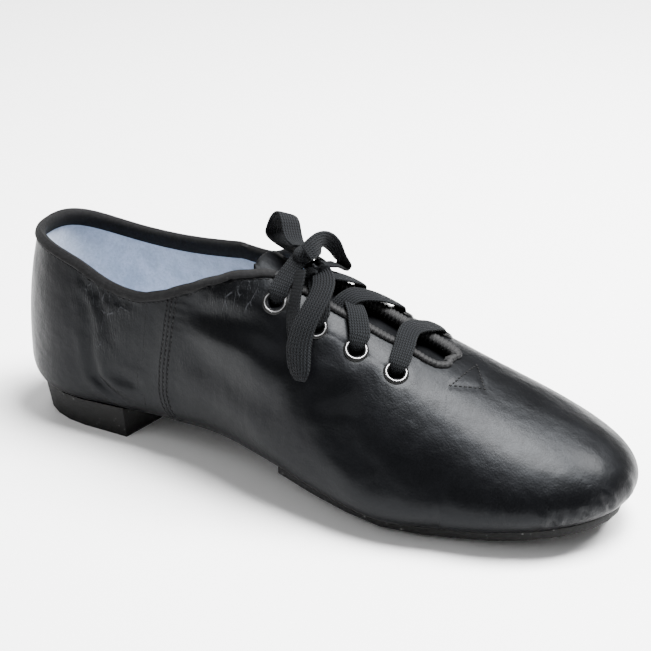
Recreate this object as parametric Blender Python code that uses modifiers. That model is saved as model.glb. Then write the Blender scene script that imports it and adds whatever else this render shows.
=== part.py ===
# Lace-up jazz shoe with a split sole, for the right foot, standing empty on its own sole.
# +X runs from the heel to the toe, -Y is the outer side of the foot, +Z is up, the floor is z = 0.
import math

import bmesh
import bpy
import numpy as np
from mathutils import Matrix, Vector

# Driving sizes, in metres
LENGTH = 0.250            # back of the heel to the tip of the toe
BALL_WIDTH = 0.0860       # widest place, over the leather
COLLAR_RISE = 0.0690      # from the heel seat up to the collar at the back
HEEL_HEIGHT = 0.0092      # under the middle of the heel seat
SOLE_THICKNESS = 0.0030   # forefoot pad
TOE_SPRING = 0.0061       # how far the toe's tip lifts
WALL = 0.0016             # leather with its lining
GAP = 0.0003              # clearance between neighbouring pieces
HEEL_LEAN = 0.036         # how deep the heel's back is rounded above its widest line
HEEL_TUCK = 0.024         # and below it
TOE_CROWN = 0.032         # how deep the toe is rounded above its widest line
TOE_TUCK = 0.021          # and below it
HEEL_TURN = 0.0375        # length over which the sides close at the heel
TOE_TURN = 0.050          # and at the toe
TURN_POWER = 2.2
HEEL_REST = 0.028         # from the heel's back to the frame's origin, on the heel's floor

HEEL_LENGTH = 0.0575      # heel block, back to breast
HEEL_SLANT = 0.12         # how far the breast runs forward, for its breadth
HEEL_FLARE = 0.0022       # how much narrower the block is at the floor
HEEL_CUP = 0.85           # share of the section's half width that the block reaches
PAD_BACK = 0.128          # where the forefoot pad begins
PAD_REACH = 0.80          # share of the section's half width that the pad reaches
PAD_PRESS = 0.0004        # how far its roundness is pressed flat on the floor
SEAT_GAP = 0.0005         # clearance over the heel and the pad
INSOLE_THICKNESS = 0.0020
INSOLE_REACH = 0.80
INSOLE_GAP = 0.0011
LASTING_MARGIN = 0.0125   # leather turned under round the openings of the bottom

THROAT_BACK = 0.1209      # corner of the quarters, measured on the crest as the next sizes are
THROAT_FRONT = 0.180      # front end of the throat
THROAT_WIDTH = 0.0135     # across its round front end
THROAT_SPREAD = 0.0170    # across the quarters' corners
EYELET_PITCH = 0.0129
EYELET_PAIRS = 4
SETBACK_BACK = 0.0098     # from the throat's edge to the pair nearest the ankle
SETBACK_FRONT = 0.0135    # and to the pair nearest the toe
EYELET_FLANGE = 0.0094    # outer diameter
EYELET_BORE = 0.0056
EYELET_ROLL = 0.0007
EYELET_BARREL = 0.0003
HOLE_EASE = 0.0009        # clearance of the leather's hole, at its outer face, round the barrel

BAND_THICKNESS = 0.0007   # binding cloth
BAND_GAP = 0.0006
COLLAR_BAND_OUT = 0.0030
COLLAR_BAND_IN = 0.0052
THROAT_BAND_OUT = 0.0026
THROAT_BAND_IN = 0.0026

LACE_WIDTH = 0.0076
LACE_THICKNESS = 0.0011
TONGUE_THICKNESS = 0.0014
TONGUE_DEPTH = WALL + LACE_THICKNESS + 4 * GAP
TONGUE_BACK = 0.112
TONGUE_FRONT = 0.192
TONGUE_REACH = 0.62       # share of the section's half width that the tongue reaches
TONGUE_ROUND = 0.12       # share of its length over which its back end is rounded
TONGUE_TAPER = 0.45       # and how much narrower it is there

OPEN_COLUMNS = 3          # faces left open under the foot, on each side of the middle
SIDE_COLUMNS = 14         # faces from the top edge down to the middle of the bottom
HEEL_ROWS = 15
TOE_ROWS = 13
END_ROWS = 4
HEEL_GRID = (9, 13)       # rows and columns of points
PAD_GRID = (13, 11)
INSOLE_GRID = (17, 9)
TONGUE_GRID = (13, 11)
TURN_STEPS = 12
LOOP_RINGS = 26
RUN_RINGS = 11
SPREAD_UNDER = 2.8        # powers that space the columns of a sheet evenly, under the foot
SPREAD_OVER = 2.05        # and over it

# Sections of the last. along is a share of LENGTH; centre, width and crest_side are shares of
# BALL_WIDTH; lift is a share of HEEL_HEIGHT less SOLE_THICKNESS; spring is a share of TOE_SPRING;
# widest and crest are heights over the underside, as shares of COLLAR_RISE; low and top are the
# powers that make the underside and the top squarer.
SECTION_COLUMNS = ("along", "centre", "width", "lift", "spring", "widest", "crest", "crest_side",
                   "low", "top")
SECTIONS = (
    (0.00, 0.000, 0.720, 1.00, 0.00, 0.270, 1.513, 0.000, 3.0, 2.10),
    (0.10, 0.000, 0.726, 1.00, 0.00, 0.180, 1.504, 0.000, 3.0, 2.10),
    (0.20, 0.000, 0.694, 1.00, 0.00, 0.205, 1.450, 0.000, 3.0, 2.10),
    (0.30, -0.012, 0.677, 1.10, 0.00, 0.206, 1.330, -0.025, 2.6, 2.10),
    (0.40, -0.023, 0.709, 1.10, 0.00, 0.210, 1.191, -0.070, 2.4, 2.10),
    (0.50, -0.048, 0.807, 0.94, 0.00, 0.200, 1.035, -0.057, 2.5, 2.05),
    (0.60, -0.043, 0.921, 0.30, 0.00, 0.190, 0.905, 0.000, 2.7, 2.00),
    (0.70, -0.021, 1.000, 0.00, 0.00, 0.160, 0.765, 0.030, 3.0, 2.00),
    (0.80, 0.020, 0.940, 0.00, 0.08, 0.160, 0.605, 0.036, 3.0, 2.00),
    (0.90, 0.048, 0.884, 0.00, 0.38, 0.160, 0.462, 0.023, 2.8, 2.05),
    (1.00, 0.070, 0.816, 0.00, 1.00, 0.125, 0.339, 0.000, 2.6, 2.10),
)
# Angle from the crest down to the collar's edge, in degrees, on the outer and the inner side, at
# shares of the way from the heel to the throat's corner.
COLLAR_COLUMNS = ("along", "outer", "inner")
COLLAR = (
    (0.0000, 57.5, 57.5),
    (0.1286, 56.5, 61.0),
    (0.2572, 57.5, 62.5),
    (0.4287, 62.0, 61.5),
    (0.5788, 60.5, 57.0),
    (0.7074, 52.0, 51.5),
    (0.8360, 38.0, 46.0),
    (0.9325, 23.5, 28.0),
    (1.0075, 13.0, 13.0),
)
# Runs of the lace from its eyelet: share of the way to the next pair, share of the eyelet's angle,
# height over the leather in lace thicknesses.
BAR_RUN = (
    (0.00, 1.15, 2.00),
    (0.00, 0.60, 2.15),
    (0.00, 0.00, 1.90),
)
CROSSING_RUN = (
    (0.00, 1.15, 2.00),
    (0.06, 0.72, 2.20),
    (0.28, 0.40, 2.10),
    (0.52, 0.10, 1.50),
    (0.66, -0.12, 1.10),
)
STRAP_RUN = (
    (0.00, 1.15, 2.00),
    (0.06, 0.72, 2.30),
    (0.08, 0.52, 2.70),
    (0.06, 0.40, 3.30),
)
# Routes of the bow. The first two are points in metres, with the directions across the ribbon at
# their start and end. The last is laid over the leather: share of the length, angle from the crest
# in degrees (outer side negative), height in lace thicknesses.
KNOT_CENTRE = (0.1270, -0.0100, 0.0873)
KNOT_HALF = (0.0042, 0.0045, 0.0034)
LOOP_BACK_ACROSS = ((0.60, 0.72, -0.30), (0.60, 0.76, -0.20))
LOOP_BACK = (
    (0.1232, -0.0070, 0.0882),
    (0.1190, -0.0035, 0.0887),
    (0.1164, -0.0009, 0.0908),
    (0.1142, 0.0015, 0.0936),
    (0.1108, 0.0044, 0.0945),
    (0.1066, 0.0072, 0.0915),
    (0.1042, 0.0083, 0.0873),
    (0.1036, 0.0080, 0.0845),
    (0.1060, 0.0058, 0.0837),
    (0.1108, 0.0021, 0.0839),
    (0.1162, -0.0021, 0.0846),
    (0.1227, -0.0070, 0.0857),
)
LOOP_FRONT_ACROSS = ((-0.55, -0.10, 0.74), (2.50, -0.40, -0.60))
LOOP_FRONT = (
    (0.1302, -0.0144, 0.0899),
    (0.1311, -0.0111, 0.0910),
    (0.1310, -0.0071, 0.0912),
    (0.1305, -0.0022, 0.0902),
    (0.1308, 0.0026, 0.0873),
    (0.1314, 0.0062, 0.0827),
    (0.1320, 0.0088, 0.0790),
    (0.1321, 0.0101, 0.0776),
    (0.1319, 0.0096, 0.0764),
    (0.1319, 0.0077, 0.0766),
    (0.1321, 0.0048, 0.0786),
    (0.1328, 0.0014, 0.0803),
    (0.1322, -0.0022, 0.0815),
    (0.1310, -0.0053, 0.0829),
)
LOOP_HANGING_ACROSS = (1.0, 0.0, 0.0)
LOOP_HANGING = (
    (0.510, -3.7, 5.8),
    (0.526, -4.9, 6.0),
    (0.540, -10.1, 6.5),
    (0.547, -17.0, 6.9),
    (0.548, -25.2, 6.9),
    (0.547, -33.3, 6.2),
    (0.549, -40.8, 5.2),
    (0.554, -46.2, 4.7),
    (0.560, -50.2, 4.3),
    (0.563, -52.6, 3.5),
    (0.564, -53.2, 2.4),
    (0.563, -51.7, 1.6),
    (0.559, -48.0, 1.5),
    (0.552, -43.6, 1.8),
    (0.543, -38.8, 2.1),
    (0.532, -34.1, 2.4),
    (0.523, -28.8, 2.8),
    (0.517, -23.3, 4.5),
    (0.510, -17.4, 6.5),
    (0.503, -12.9, 8.1),
)
OUTER = -1
INNER = 1
MIDDLE = 0


def column(rows, columns, name, at):
    """Value of a table's column at a share of the length, on a smooth curve through its rows."""
    table = np.array(rows, dtype=float)
    knots = table[:, 0]
    values = table[:, columns.index(name)]
    steps = np.diff(knots)
    slopes = np.diff(values) / steps
    tangents = np.empty(len(knots))
    tangents[0] = slopes[0]
    tangents[-1] = slopes[-1]
    tangents[1:-1] = (slopes[:-1] * steps[1:] + slopes[1:] * steps[:-1]) / (steps[1:] + steps[:-1])
    at = np.clip(at, knots[0], knots[-1])
    k = np.clip(np.searchsorted(knots, at, side="right") - 1, 0, len(knots) - 2)
    h = steps[k]
    t = (at - knots[k]) / h
    return (values[k] * (2 * t ** 3 - 3 * t ** 2 + 1) + values[k + 1] * (3 * t ** 2 - 2 * t ** 3)
            + h * tangents[k] * (t ** 3 - 2 * t ** 2 + t) + h * tangents[k + 1] * (t ** 3 - t ** 2))


def section(name, at):
    return column(SECTIONS, SECTION_COLUMNS, name, at)


def turn(along):
    """Share of the half width that is left where the sides close at the heel and the toe."""
    heel = np.clip(1 - along * LENGTH / HEEL_TURN, 0, 1)
    toe = np.clip(1 - (1 - along) * LENGTH / TOE_TURN, 0, 1)
    return ((1 - heel ** TURN_POWER) * (1 - toe ** TURN_POWER)) ** (1 / TURN_POWER)


def reach_and_rise(along, angle):
    """Shares of the half width and of the height at an angle from the crest."""
    power = np.where(angle < math.pi / 2, section("top", along), section("low", along))
    return np.abs(np.sin(angle)) ** (2 / power), np.abs(np.cos(angle)) ** (2 / power)


def ends(angle, reach):
    """Where a line at this angle starts at the heel and ends at the toe."""
    above = angle < math.pi / 2
    start = np.where(above, HEEL_LEAN, HEEL_TUCK) * (1 - reach)
    stop = LENGTH - np.where(above, TOE_CROWN, TOE_TUCK) * (1 - reach)
    return start, stop


def last_point(along, angle, side):
    """Point of the last's surface. angle is 0 at the crest and pi under the foot."""
    reach, rise = reach_and_rise(along, angle)
    start, stop = ends(angle, reach)
    x = start + (stop - start) * along
    at = x / LENGTH
    above = angle < math.pi / 2
    half = section("width", at) * BALL_WIDTH / 2 * turn(along) * reach
    shift = np.where(above, section("crest_side", at) * rise, 0)
    y = (section("centre", at) + shift) * BALL_WIDTH + side * half
    under = (SOLE_THICKNESS + GAP + section("lift", at) * (HEEL_HEIGHT - SOLE_THICKNESS)
             + section("spring", at) * TOE_SPRING)
    widest = section("widest", at) * COLLAR_RISE
    crest = section("crest", at) * COLLAR_RISE
    z = under + np.where(above, widest + (crest - widest) * rise, widest * (1 - rise))
    return np.stack(np.broadcast_arrays(x, y, z), axis=-1)


def last_normal(along, angle, side):
    """Direction that points out of the shoe."""
    small = 0.002
    along = np.clip(along, small, 1 - small)
    angle = np.clip(angle, 10 * small, math.pi - 10 * small)
    run = last_point(along + small / 2, angle, side) - last_point(along - small / 2, angle, side)
    fall = last_point(along, angle + small, side) - last_point(along, angle - small, side)
    normal = np.cross(run, fall) * np.expand_dims(side, -1)
    return normal / np.linalg.norm(normal, axis=-1, keepdims=True)


def leather(along, angle, side, depth=0.0):
    """Point at a depth under the leather's outer face, or outside it where the depth is negative."""
    along, angle, side = np.broadcast_arrays(np.asarray(along, float), np.asarray(angle, float),
                                             np.asarray(side, float))
    seam = (along <= 0) | (along >= 1) | (angle <= 0) | (angle >= math.pi) | (side == MIDDLE)
    turned = np.where(side == MIDDLE, OUTER, side)
    normal = last_normal(along, angle, turned)
    other = last_normal(along, angle, -turned)
    normal = np.where(np.expand_dims(seam, -1), normal + other, normal)
    normal = normal / np.linalg.norm(normal, axis=-1, keepdims=True)
    return last_point(along, angle, side) - normal * np.expand_dims(depth, -1)


def along_at(x, angle):
    """Share of the length at which the line at this angle passes a distance from the heel."""
    share = x / LENGTH
    for _ in range(4):
        reach, _rise = reach_and_rise(share, angle)
        start, stop = ends(angle, reach)
        share = np.clip((x - start) / (stop - start), 0, 1)
    return share


def crest_along(x):
    """Share of the length of the row whose crest stands at a distance from the heel."""
    return (x - HEEL_LEAN) / (LENGTH - HEEL_LEAN - TOE_CROWN)


def crest_x(along):
    return HEEL_LEAN + along * (LENGTH - HEEL_LEAN - TOE_CROWN)


def throat_angle(along):
    """Angle from the crest to the throat's edge, 0 where the vamp is closed."""
    x = crest_x(np.asarray(along))
    radius = THROAT_WIDTH / 2
    past = np.clip((x - (THROAT_FRONT - radius)) / radius, 0, 1)
    ahead = np.clip((x - THROAT_BACK) / (THROAT_FRONT - radius - THROAT_BACK), 0, 1)
    spread = (THROAT_SPREAD - THROAT_WIDTH) / 2 * (1 - ahead)
    half_gap = (radius + spread) * np.sqrt(1 - past ** 2)
    half = section("width", along) * BALL_WIDTH / 2
    return np.arcsin(np.clip(half_gap / half, 0, 1) ** (section("top", along) / 2))


def edge_angle(along, side):
    """Angle of the leather's top edge: the collar behind the corner, the throat ahead of it."""
    name = "outer" if side == OUTER else "inner"
    share = np.asarray(along) / crest_along(THROAT_BACK)
    collar = np.radians(column(COLLAR, COLLAR_COLUMNS, name, share))
    open_throat = throat_angle(along)
    collar = np.where(crest_x(np.asarray(along)) > THROAT_BACK + GAP, 0, collar)
    return np.maximum(collar, open_throat)


def stations():
    """Shares of the length that the upper's rows stand at, and the rows of the eyelets."""
    turned = 2.2
    corner = crest_along(THROAT_BACK)
    tip = crest_along(THROAT_FRONT)
    heel = [(1 - math.cos(turned * k / HEEL_ROWS)) / (1 - math.cos(turned)) * corner
            for k in range(HEEL_ROWS + 1)]
    third = EYELET_PITCH / 3
    holes = [THROAT_BACK + third * k for k in range(1, 3 * EYELET_PAIRS)]
    radius = THROAT_WIDTH / 2
    end = [THROAT_FRONT - radius + radius * math.sin(math.pi / 2 * k / END_ROWS)
           for k in range(END_ROWS + 1)]
    spare = int((end[0] - holes[-1]) / third)
    extra = [holes[-1] + (end[0] - holes[-1]) * k / (spare + 1) for k in range(1, spare + 1)]
    middle = [crest_along(x) for x in holes + extra + end]
    toe = [tip + (1 - tip) * (math.cos(turned * (1 - k / TOE_ROWS)) - math.cos(turned))
           / (1 - math.cos(turned)) for k in range(1, TOE_ROWS + 1)]
    rows = heel + middle + toe
    eyelets = [HEEL_ROWS + 1 + 3 * k for k in range(EYELET_PAIRS)]
    return np.array(rows), eyelets


def side_angles(along, side):
    """Angles of one row's points, from the top edge down to the middle of the bottom."""
    first = float(edge_angle(along, side))
    sweep = np.linspace(first, math.pi, 200)
    points = last_point(np.full(200, along), sweep, side)
    run = np.concatenate([[0], np.cumsum(np.linalg.norm(np.diff(points, axis=0), axis=1))])
    ahead = np.clip((crest_x(along) - THROAT_BACK) / (EYELET_PAIRS * EYELET_PITCH), 0, 1)
    setback = SETBACK_BACK + (SETBACK_FRONT - SETBACK_BACK) * ahead
    near = [0, setback / 2, setback, setback * 1.5]
    rest = np.linspace(near[-1], run[-1], SIDE_COLUMNS - len(near) + 2)[1:]
    angles = np.interp(np.concatenate([near, rest]), run, sweep)
    angles[-1] = math.pi
    return angles


def parts_collection(name):
    collection = bpy.data.collections.new(name)
    bpy.context.scene.collection.children.link(collection)
    return collection


def material(name, colour, roughness, metallic=0.0):
    finish = bpy.data.materials.new(name)
    finish.use_nodes = True
    shader = finish.node_tree.nodes["Principled BSDF"]
    shader.inputs["Base Color"].default_value = (*colour, 1)
    shader.inputs["Roughness"].default_value = roughness
    shader.inputs["Metallic"].default_value = metallic
    finish.diffuse_color = (*colour, 1)
    return finish


def add_object(name, bm, finish):
    """Close a bmesh into a named part."""
    mesh = bpy.data.meshes.new(name)
    bm.to_mesh(mesh)
    bm.free()
    mesh.shade_smooth()
    mesh.set_sharp_from_angle(angle=math.radians(40))
    part = bpy.data.objects.new(name, mesh)
    part.data.materials.append(finish)
    SHOE.objects.link(part)
    return part


def grid_faces(bm, grid):
    """Quads over a grid of points, whose rows run along the shoe."""
    verts = [[bm.verts.new(point) for point in row] for row in grid]
    for here, ahead in zip(verts[:-1], verts[1:]):
        for k in range(len(here) - 1):
            bm.faces.new((here[k], here[k + 1], ahead[k + 1], ahead[k]))
    return verts


def wall_faces(bm, near, far):
    """Quads between two equal lines of vertices."""
    for k in range(len(near) - 1):
        bm.faces.new((near[k], far[k], far[k + 1], near[k + 1]))


def finish_solid(bm):
    """Weld a solid's seams and turn its faces outwards."""
    bmesh.ops.remove_doubles(bm, verts=bm.verts, dist=0.00001)
    bmesh.ops.dissolve_degenerate(bm, dist=0.00001, edges=bm.edges)
    bmesh.ops.recalc_face_normals(bm, faces=bm.faces)


def across(reach, columns, under=True):
    """Sides and angles of a sheet's columns, spread evenly over a share of the half width."""
    shares = np.linspace(-reach, reach, columns)
    power = SPREAD_UNDER if under else SPREAD_OVER
    lean = np.arcsin(np.abs(shares) ** (power / 2))
    angles = math.pi - lean if under else lean
    return np.sign(shares), angles


def sheet_solid(name, rows, near_depth, far_depth, finish, fold_first=False, fold_last=False):
    """A sheet of even thickness that follows the last. rows holds (along, side, angle) arrays."""
    near = [leather(along, angle, side, near_depth) for along, side, angle in rows]
    far = [leather(along, angle, side, far_depth) for along, side, angle in rows]
    bm = bmesh.new()
    top = grid_faces(bm, near)
    low = grid_faces(bm, far)
    wall_faces(bm, [row[0] for row in top], [row[0] for row in low])
    wall_faces(bm, [row[-1] for row in top], [row[-1] for row in low])
    if not fold_first:
        wall_faces(bm, top[0], low[0])
    if not fold_last:
        wall_faces(bm, top[-1], low[-1])
    finish_solid(bm)
    return add_object(name, bm, finish)


def upper_part(finish):
    """The whole leather form: one surface, its eyelet holes and bottom openings, then its wall."""
    rows, eyelets = stations()
    grid = []
    for along in rows:
        outer = side_angles(along, OUTER)
        inner = side_angles(along, INNER)
        angles = np.concatenate([outer, inner[-2::-1]])
        sides = np.concatenate([np.full(SIDE_COLUMNS, OUTER), [MIDDLE], np.full(SIDE_COLUMNS, INNER)])
        sides = np.where(angles <= 0, MIDDLE, sides)
        grid.append(leather(along, angles, sides))
    bm = bmesh.new()
    verts = grid_faces(bm, grid)
    hole_column = 2
    bore = EYELET_BORE / 2 + EYELET_BARREL + HOLE_EASE
    for row in eyelets:
        for col in (hole_column, 2 * SIDE_COLUMNS - hole_column):
            cut_round_hole(bm, verts, row, col, bore)
    drop = []
    for r in range(len(rows) - 1):
        x = grid[r][SIDE_COLUMNS][0]
        ahead = grid[r + 1][SIDE_COLUMNS][0]
        in_heel = x > HEEL_TUCK + LASTING_MARGIN / 4 and ahead < HEEL_LENGTH - LASTING_MARGIN / 2
        in_pad = x > PAD_BACK + LASTING_MARGIN and ahead < LENGTH - TOE_TUCK - LASTING_MARGIN
        if in_heel or in_pad:
            for c in range(SIDE_COLUMNS - OPEN_COLUMNS, SIDE_COLUMNS + OPEN_COLUMNS):
                corners = (verts[r][c], verts[r][c + 1], verts[r + 1][c + 1], verts[r + 1][c])
                drop.append(bm.faces.get(corners))
    bmesh.ops.delete(bm, geom=drop, context="FACES")
    bmesh.ops.remove_doubles(bm, verts=bm.verts, dist=0.00001)
    bmesh.ops.recalc_face_normals(bm, faces=bm.faces)
    lowest = min(bm.faces, key=lambda f: f.calc_center_median().z)
    if lowest.normal.z > 0:
        bmesh.ops.reverse_faces(bm, faces=bm.faces)
    upper = add_object("upper", bm, finish)
    wall = upper.modifiers.new("wall", "SOLIDIFY")
    wall.thickness = WALL
    wall.offset = -1
    wall.use_even_offset = True
    return upper


def cut_round_hole(bm, verts, row, col, radius):
    """Open a hole round one grid point, and draw its eight neighbours onto a circle."""
    centre = verts[row][col].co.copy()
    steps = ((-1, -1), (-1, 0), (-1, 1), (0, 1), (1, 1), (1, 0), (1, -1), (0, -1))
    ring = [verts[row + r][col + c] for r, c in steps]
    ahead = (ring[5].co - ring[1].co).normalized()
    normal = ahead.cross(ring[3].co - ring[7].co).normalized()
    beside = normal.cross(ahead)
    bmesh.ops.delete(bm, geom=[verts[row][col]], context="VERTS")
    for k, vert in enumerate(ring):
        turned = math.radians(225 - 45 * k)
        vert.co = centre + (ahead * math.cos(turned) + beside * math.sin(turned)) * radius


def eyelet_places():
    """Centre and outward direction of every eyelet, by its name."""
    rows, eyelets = stations()
    places = {}
    for number, row in enumerate(eyelets, start=1):
        for side, word in ((OUTER, "outer"), (INNER, "inner")):
            angle = side_angles(rows[row], side)[2]
            point = Vector(leather(rows[row], angle, side))
            normal = Vector(last_normal(rows[row], angle, side))
            places[f"eyelet_{word}_{number}"] = (point, normal)
    return places


def eyelet_part(name, point, normal, finish):
    """A turned flange, barrel and inner roll in one piece."""
    bore = EYELET_BORE / 2
    outside = bore + EYELET_BARREL
    flange = EYELET_FLANGE / 2
    roll = flange - EYELET_ROLL
    inside = -WALL - GAP * 1.6
    profile = [
        (bore, GAP + EYELET_ROLL / 2), (bore + EYELET_ROLL, GAP + EYELET_ROLL),
        (flange - EYELET_ROLL / 2, GAP + EYELET_ROLL), (flange, GAP), (outside, GAP),
        (outside, inside), (roll, inside), (bore, inside - EYELET_ROLL / 2),
    ]
    bm = bmesh.new()
    verts = [bm.verts.new((x, 0, z)) for x, z in profile]
    for k, vert in enumerate(verts):
        bm.edges.new((vert, verts[(k + 1) % len(verts)]))
    eyelet = add_object(name, bm, finish)
    screw = eyelet.modifiers.new("turn", "SCREW")
    screw.steps = TURN_STEPS
    screw.render_steps = TURN_STEPS
    screw.use_merge_vertices = True
    screw.merge_threshold = 0.00001
    screw.use_normal_calculate = True
    screw.use_normal_flip = True
    eyelet.matrix_world = Matrix.Translation(point) @ normal.to_track_quat("Z", "Y").to_matrix().to_4x4()
    return eyelet


def surface_step(along, angle, side, heading, distance):
    """Share and angle reached by a short walk over the leather in a given direction."""
    small = 0.0005
    if side == MIDDLE and along > 0:
        run = last_point(along + small, 0.0, MIDDLE) - last_point(along - small, 0.0, MIDDLE)
        return along + 2 * small * distance / np.linalg.norm(run), 0.0
    fall = (last_point(along, angle + small, side) - last_point(along, angle - small, side)) / (2 * small)
    if side == MIDDLE:
        return 0.0, angle + distance / np.linalg.norm(fall)
    low = max(along - small, 0)
    run = (last_point(along + small, angle, side) - last_point(low, angle, side)) / (along + small - low)
    across_both = run @ fall
    system = np.array(((run @ run, across_both), (across_both, fall @ fall)))
    step = np.linalg.solve(system, np.array((run @ heading, fall @ heading))) * distance
    return max(along + step[0], 0.0), max(angle + step[1], 0.0)


def top_edge():
    """The leather's top edge as a closed loop of steps and points, and the places of its corners."""
    rows, _eyelets = stations()
    last_open = int(np.argmin(np.abs(rows - crest_along(THROAT_FRONT))))
    corner = int(np.argmin(np.abs(rows - crest_along(THROAT_BACK))))
    loop = []
    for r in range(last_open - 1, 0, -1):
        loop.append((rows[r], float(edge_angle(rows[r], OUTER)), OUTER))
    loop.append((0.0, float(edge_angle(0.0, OUTER)), MIDDLE))
    for r in range(1, last_open):
        loop.append((rows[r], float(edge_angle(rows[r], INNER)), INNER))
    loop.append((rows[last_open], 0.0, MIDDLE))
    points = [Vector(leather(*step)) for step in loop]
    normals = []
    for along, angle, side in loop:
        lifted = Vector(leather(along, angle, side, -1.0))
        normals.append((lifted - Vector(leather(along, angle, side))).normalized())
    outer_corner = last_open - 1 - corner
    inner_corner = last_open - 1 + corner
    return loop, points, normals, outer_corner, inner_corner


def band_part(name, edge, tangents, span, out, inside, finish):
    """A folded band over the leather's edge, from one corner of the loop to the other."""
    loop, points, normals = edge
    cover = BAND_GAP + BAND_THICKNESS
    rings = []
    for order, k in enumerate(span):
        point, normal, tangent = points[k], normals[k], tangents[k]
        down = normal.cross(tangent).normalized()
        nudge = 0.0
        if order == 0:
            nudge = GAP
        if order == len(span) - 1:
            nudge = -GAP
        out_share, out_angle = surface_step(*loop[k], down, out)
        in_share, in_angle = surface_step(*loop[k], down, inside)
        side = loop[k][2]
        ring = [
            Vector(leather(out_share, out_angle, side, -cover)),
            point + normal * cover - down * cover,
            point - normal * (WALL + cover) - down * cover,
            Vector(leather(in_share, in_angle, side, WALL + cover)),
            Vector(leather(in_share, in_angle, side, WALL + BAND_GAP)),
            point - normal * (WALL + BAND_GAP) - down * BAND_GAP,
            point + normal * BAND_GAP - down * BAND_GAP,
            Vector(leather(out_share, out_angle, side, -BAND_GAP)),
        ]
        rings.append([spot + tangent * nudge for spot in ring])
    bm = bmesh.new()
    verts = [[bm.verts.new(point) for point in ring] for ring in rings]
    count = len(verts[0])
    for here, ahead in zip(verts[:-1], verts[1:]):
        for k in range(count):
            bm.faces.new((here[k], here[(k + 1) % count], ahead[(k + 1) % count], ahead[k]))
    bm.faces.new(verts[0])
    bm.faces.new(verts[-1][::-1])
    finish_solid(bm)
    return add_object(name, bm, finish)


def bands(collar_finish, throat_finish):
    loop, points, normals, outer_corner, inner_corner = top_edge()
    edge = (loop, points, normals)
    count = len(points)
    tangents = [(points[(k + 1) % count] - points[k - 1]).normalized() for k in range(count)]
    collar = list(range(outer_corner, inner_corner + 1))
    throat = [k % count for k in range(inner_corner, outer_corner + count + 1)]
    band_part("collar_binding", edge, tangents, collar, COLLAR_BAND_OUT, COLLAR_BAND_IN, collar_finish)
    band_part("throat_binding", edge, tangents, throat, THROAT_BAND_OUT, THROAT_BAND_IN, throat_finish)


def smooth_rows(rows, count):
    """Points of a smooth curve through the rows of a short table."""
    table = np.array(rows, dtype=float)
    padded = np.vstack([2 * table[0] - table[1], table, 2 * table[-1] - table[-2]])
    points = []
    for step in np.linspace(0, len(table) - 1, count):
        k = min(int(step), len(table) - 2)
        t = step - k
        a, b, c, d = padded[k:k + 4]
        points.append(0.5 * (2 * b + (c - a) * t + (2 * a - 5 * b + 4 * c - d) * t ** 2
                             + (3 * b - a - 3 * c + d) * t ** 3))
    return np.array(points)


def ribbon_mesh(centres, widths):
    """A flat lace with round edges along a line. widths point across it."""
    outline = ((-1, 0), (-0.88, 1), (0.88, 1), (1, 0), (0.88, -1), (-0.88, -1))
    ahead = np.gradient(centres, axis=0)
    bm = bmesh.new()
    rings = []
    for centre, tangent, width in zip(centres, ahead, widths):
        tangent = tangent / np.linalg.norm(tangent)
        width = width - tangent * (width @ tangent)
        width = width / np.linalg.norm(width) * LACE_WIDTH / 2
        flat = np.cross(tangent, width)
        flat = flat / np.linalg.norm(flat) * LACE_THICKNESS / 2
        rings.append([bm.verts.new(centre + width * u + flat * v) for u, v in outline])
    count = len(outline)
    for here, there in zip(rings[:-1], rings[1:]):
        for k in range(count):
            bm.faces.new((here[k], here[(k + 1) % count], there[(k + 1) % count], there[k]))
    bm.faces.new(rings[0])
    bm.faces.new(rings[-1])
    finish_solid(bm)
    return bm


def laid_line(rows, count):
    """Points over the leather and its directions outward there. rows hold share, angle (outer side
    negative) and height over the leather in lace thicknesses."""
    centres = []
    normals = []
    for along, degrees, lift in smooth_rows(rows, count):
        side = OUTER if degrees < 0 else INNER
        angle = abs(math.radians(degrees))
        low = leather(along, angle, side, -lift * LACE_THICKNESS)
        high = leather(along, angle, side, -(lift + 1) * LACE_THICKNESS)
        centres.append(low)
        normals.append(high - low)
    return np.array(centres), np.array(normals)


def laid_ribbon(rows, count):
    """A flat lace laid on the leather along a line over it."""
    centres, normals = laid_line(rows, count)
    ahead = np.gradient(centres, axis=0)
    return ribbon_mesh(centres, np.cross(normals, ahead))


def eyelet_row(number, side):
    """Share of the length and signed angle, in degrees, of one eyelet."""
    rows, eyelets = stations()
    along = rows[eyelets[number - 1]]
    return along, side * math.degrees(side_angles(along, side)[2])


def lace_bar(finish):
    """The lace's first run, straight across the pair nearest the toe."""
    along, outer = eyelet_row(EYELET_PAIRS, OUTER)
    _along, inner = eyelet_row(EYELET_PAIRS, INNER)
    rows = [(along, outer * share, lift) for _run, share, lift in BAR_RUN]
    rows += [(along, inner * share, lift) for _run, share, lift in BAR_RUN[-2::-1]]
    add_object("lace_bar", laid_ribbon(rows, RUN_RINGS), finish)


def lace_crossing(number, finish):
    """Two runs that come up through a pair, dip into the throat and cross there, as one solid."""
    joined = []
    for side in (OUTER, INNER):
        along, start = eyelet_row(number + 1, side)
        back, _start = eyelet_row(number, side)
        rows = [(along + (back - along) * run, start * share, lift) for run, share, lift in CROSSING_RUN]
        joined.append(laid_ribbon(rows, RUN_RINGS))
    crossing = add_object(f"lace_crossing_{number}", joined[0], finish)
    other = add_object(f"crossing_run_{number}", joined[1], finish)
    SHOE.objects.unlink(other)
    CUTTERS.objects.link(other)
    other.hide_render = True
    other.display_type = "WIRE"
    join = crossing.modifiers.new("join", "BOOLEAN")
    join.operation = "UNION"
    join.object = other


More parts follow.
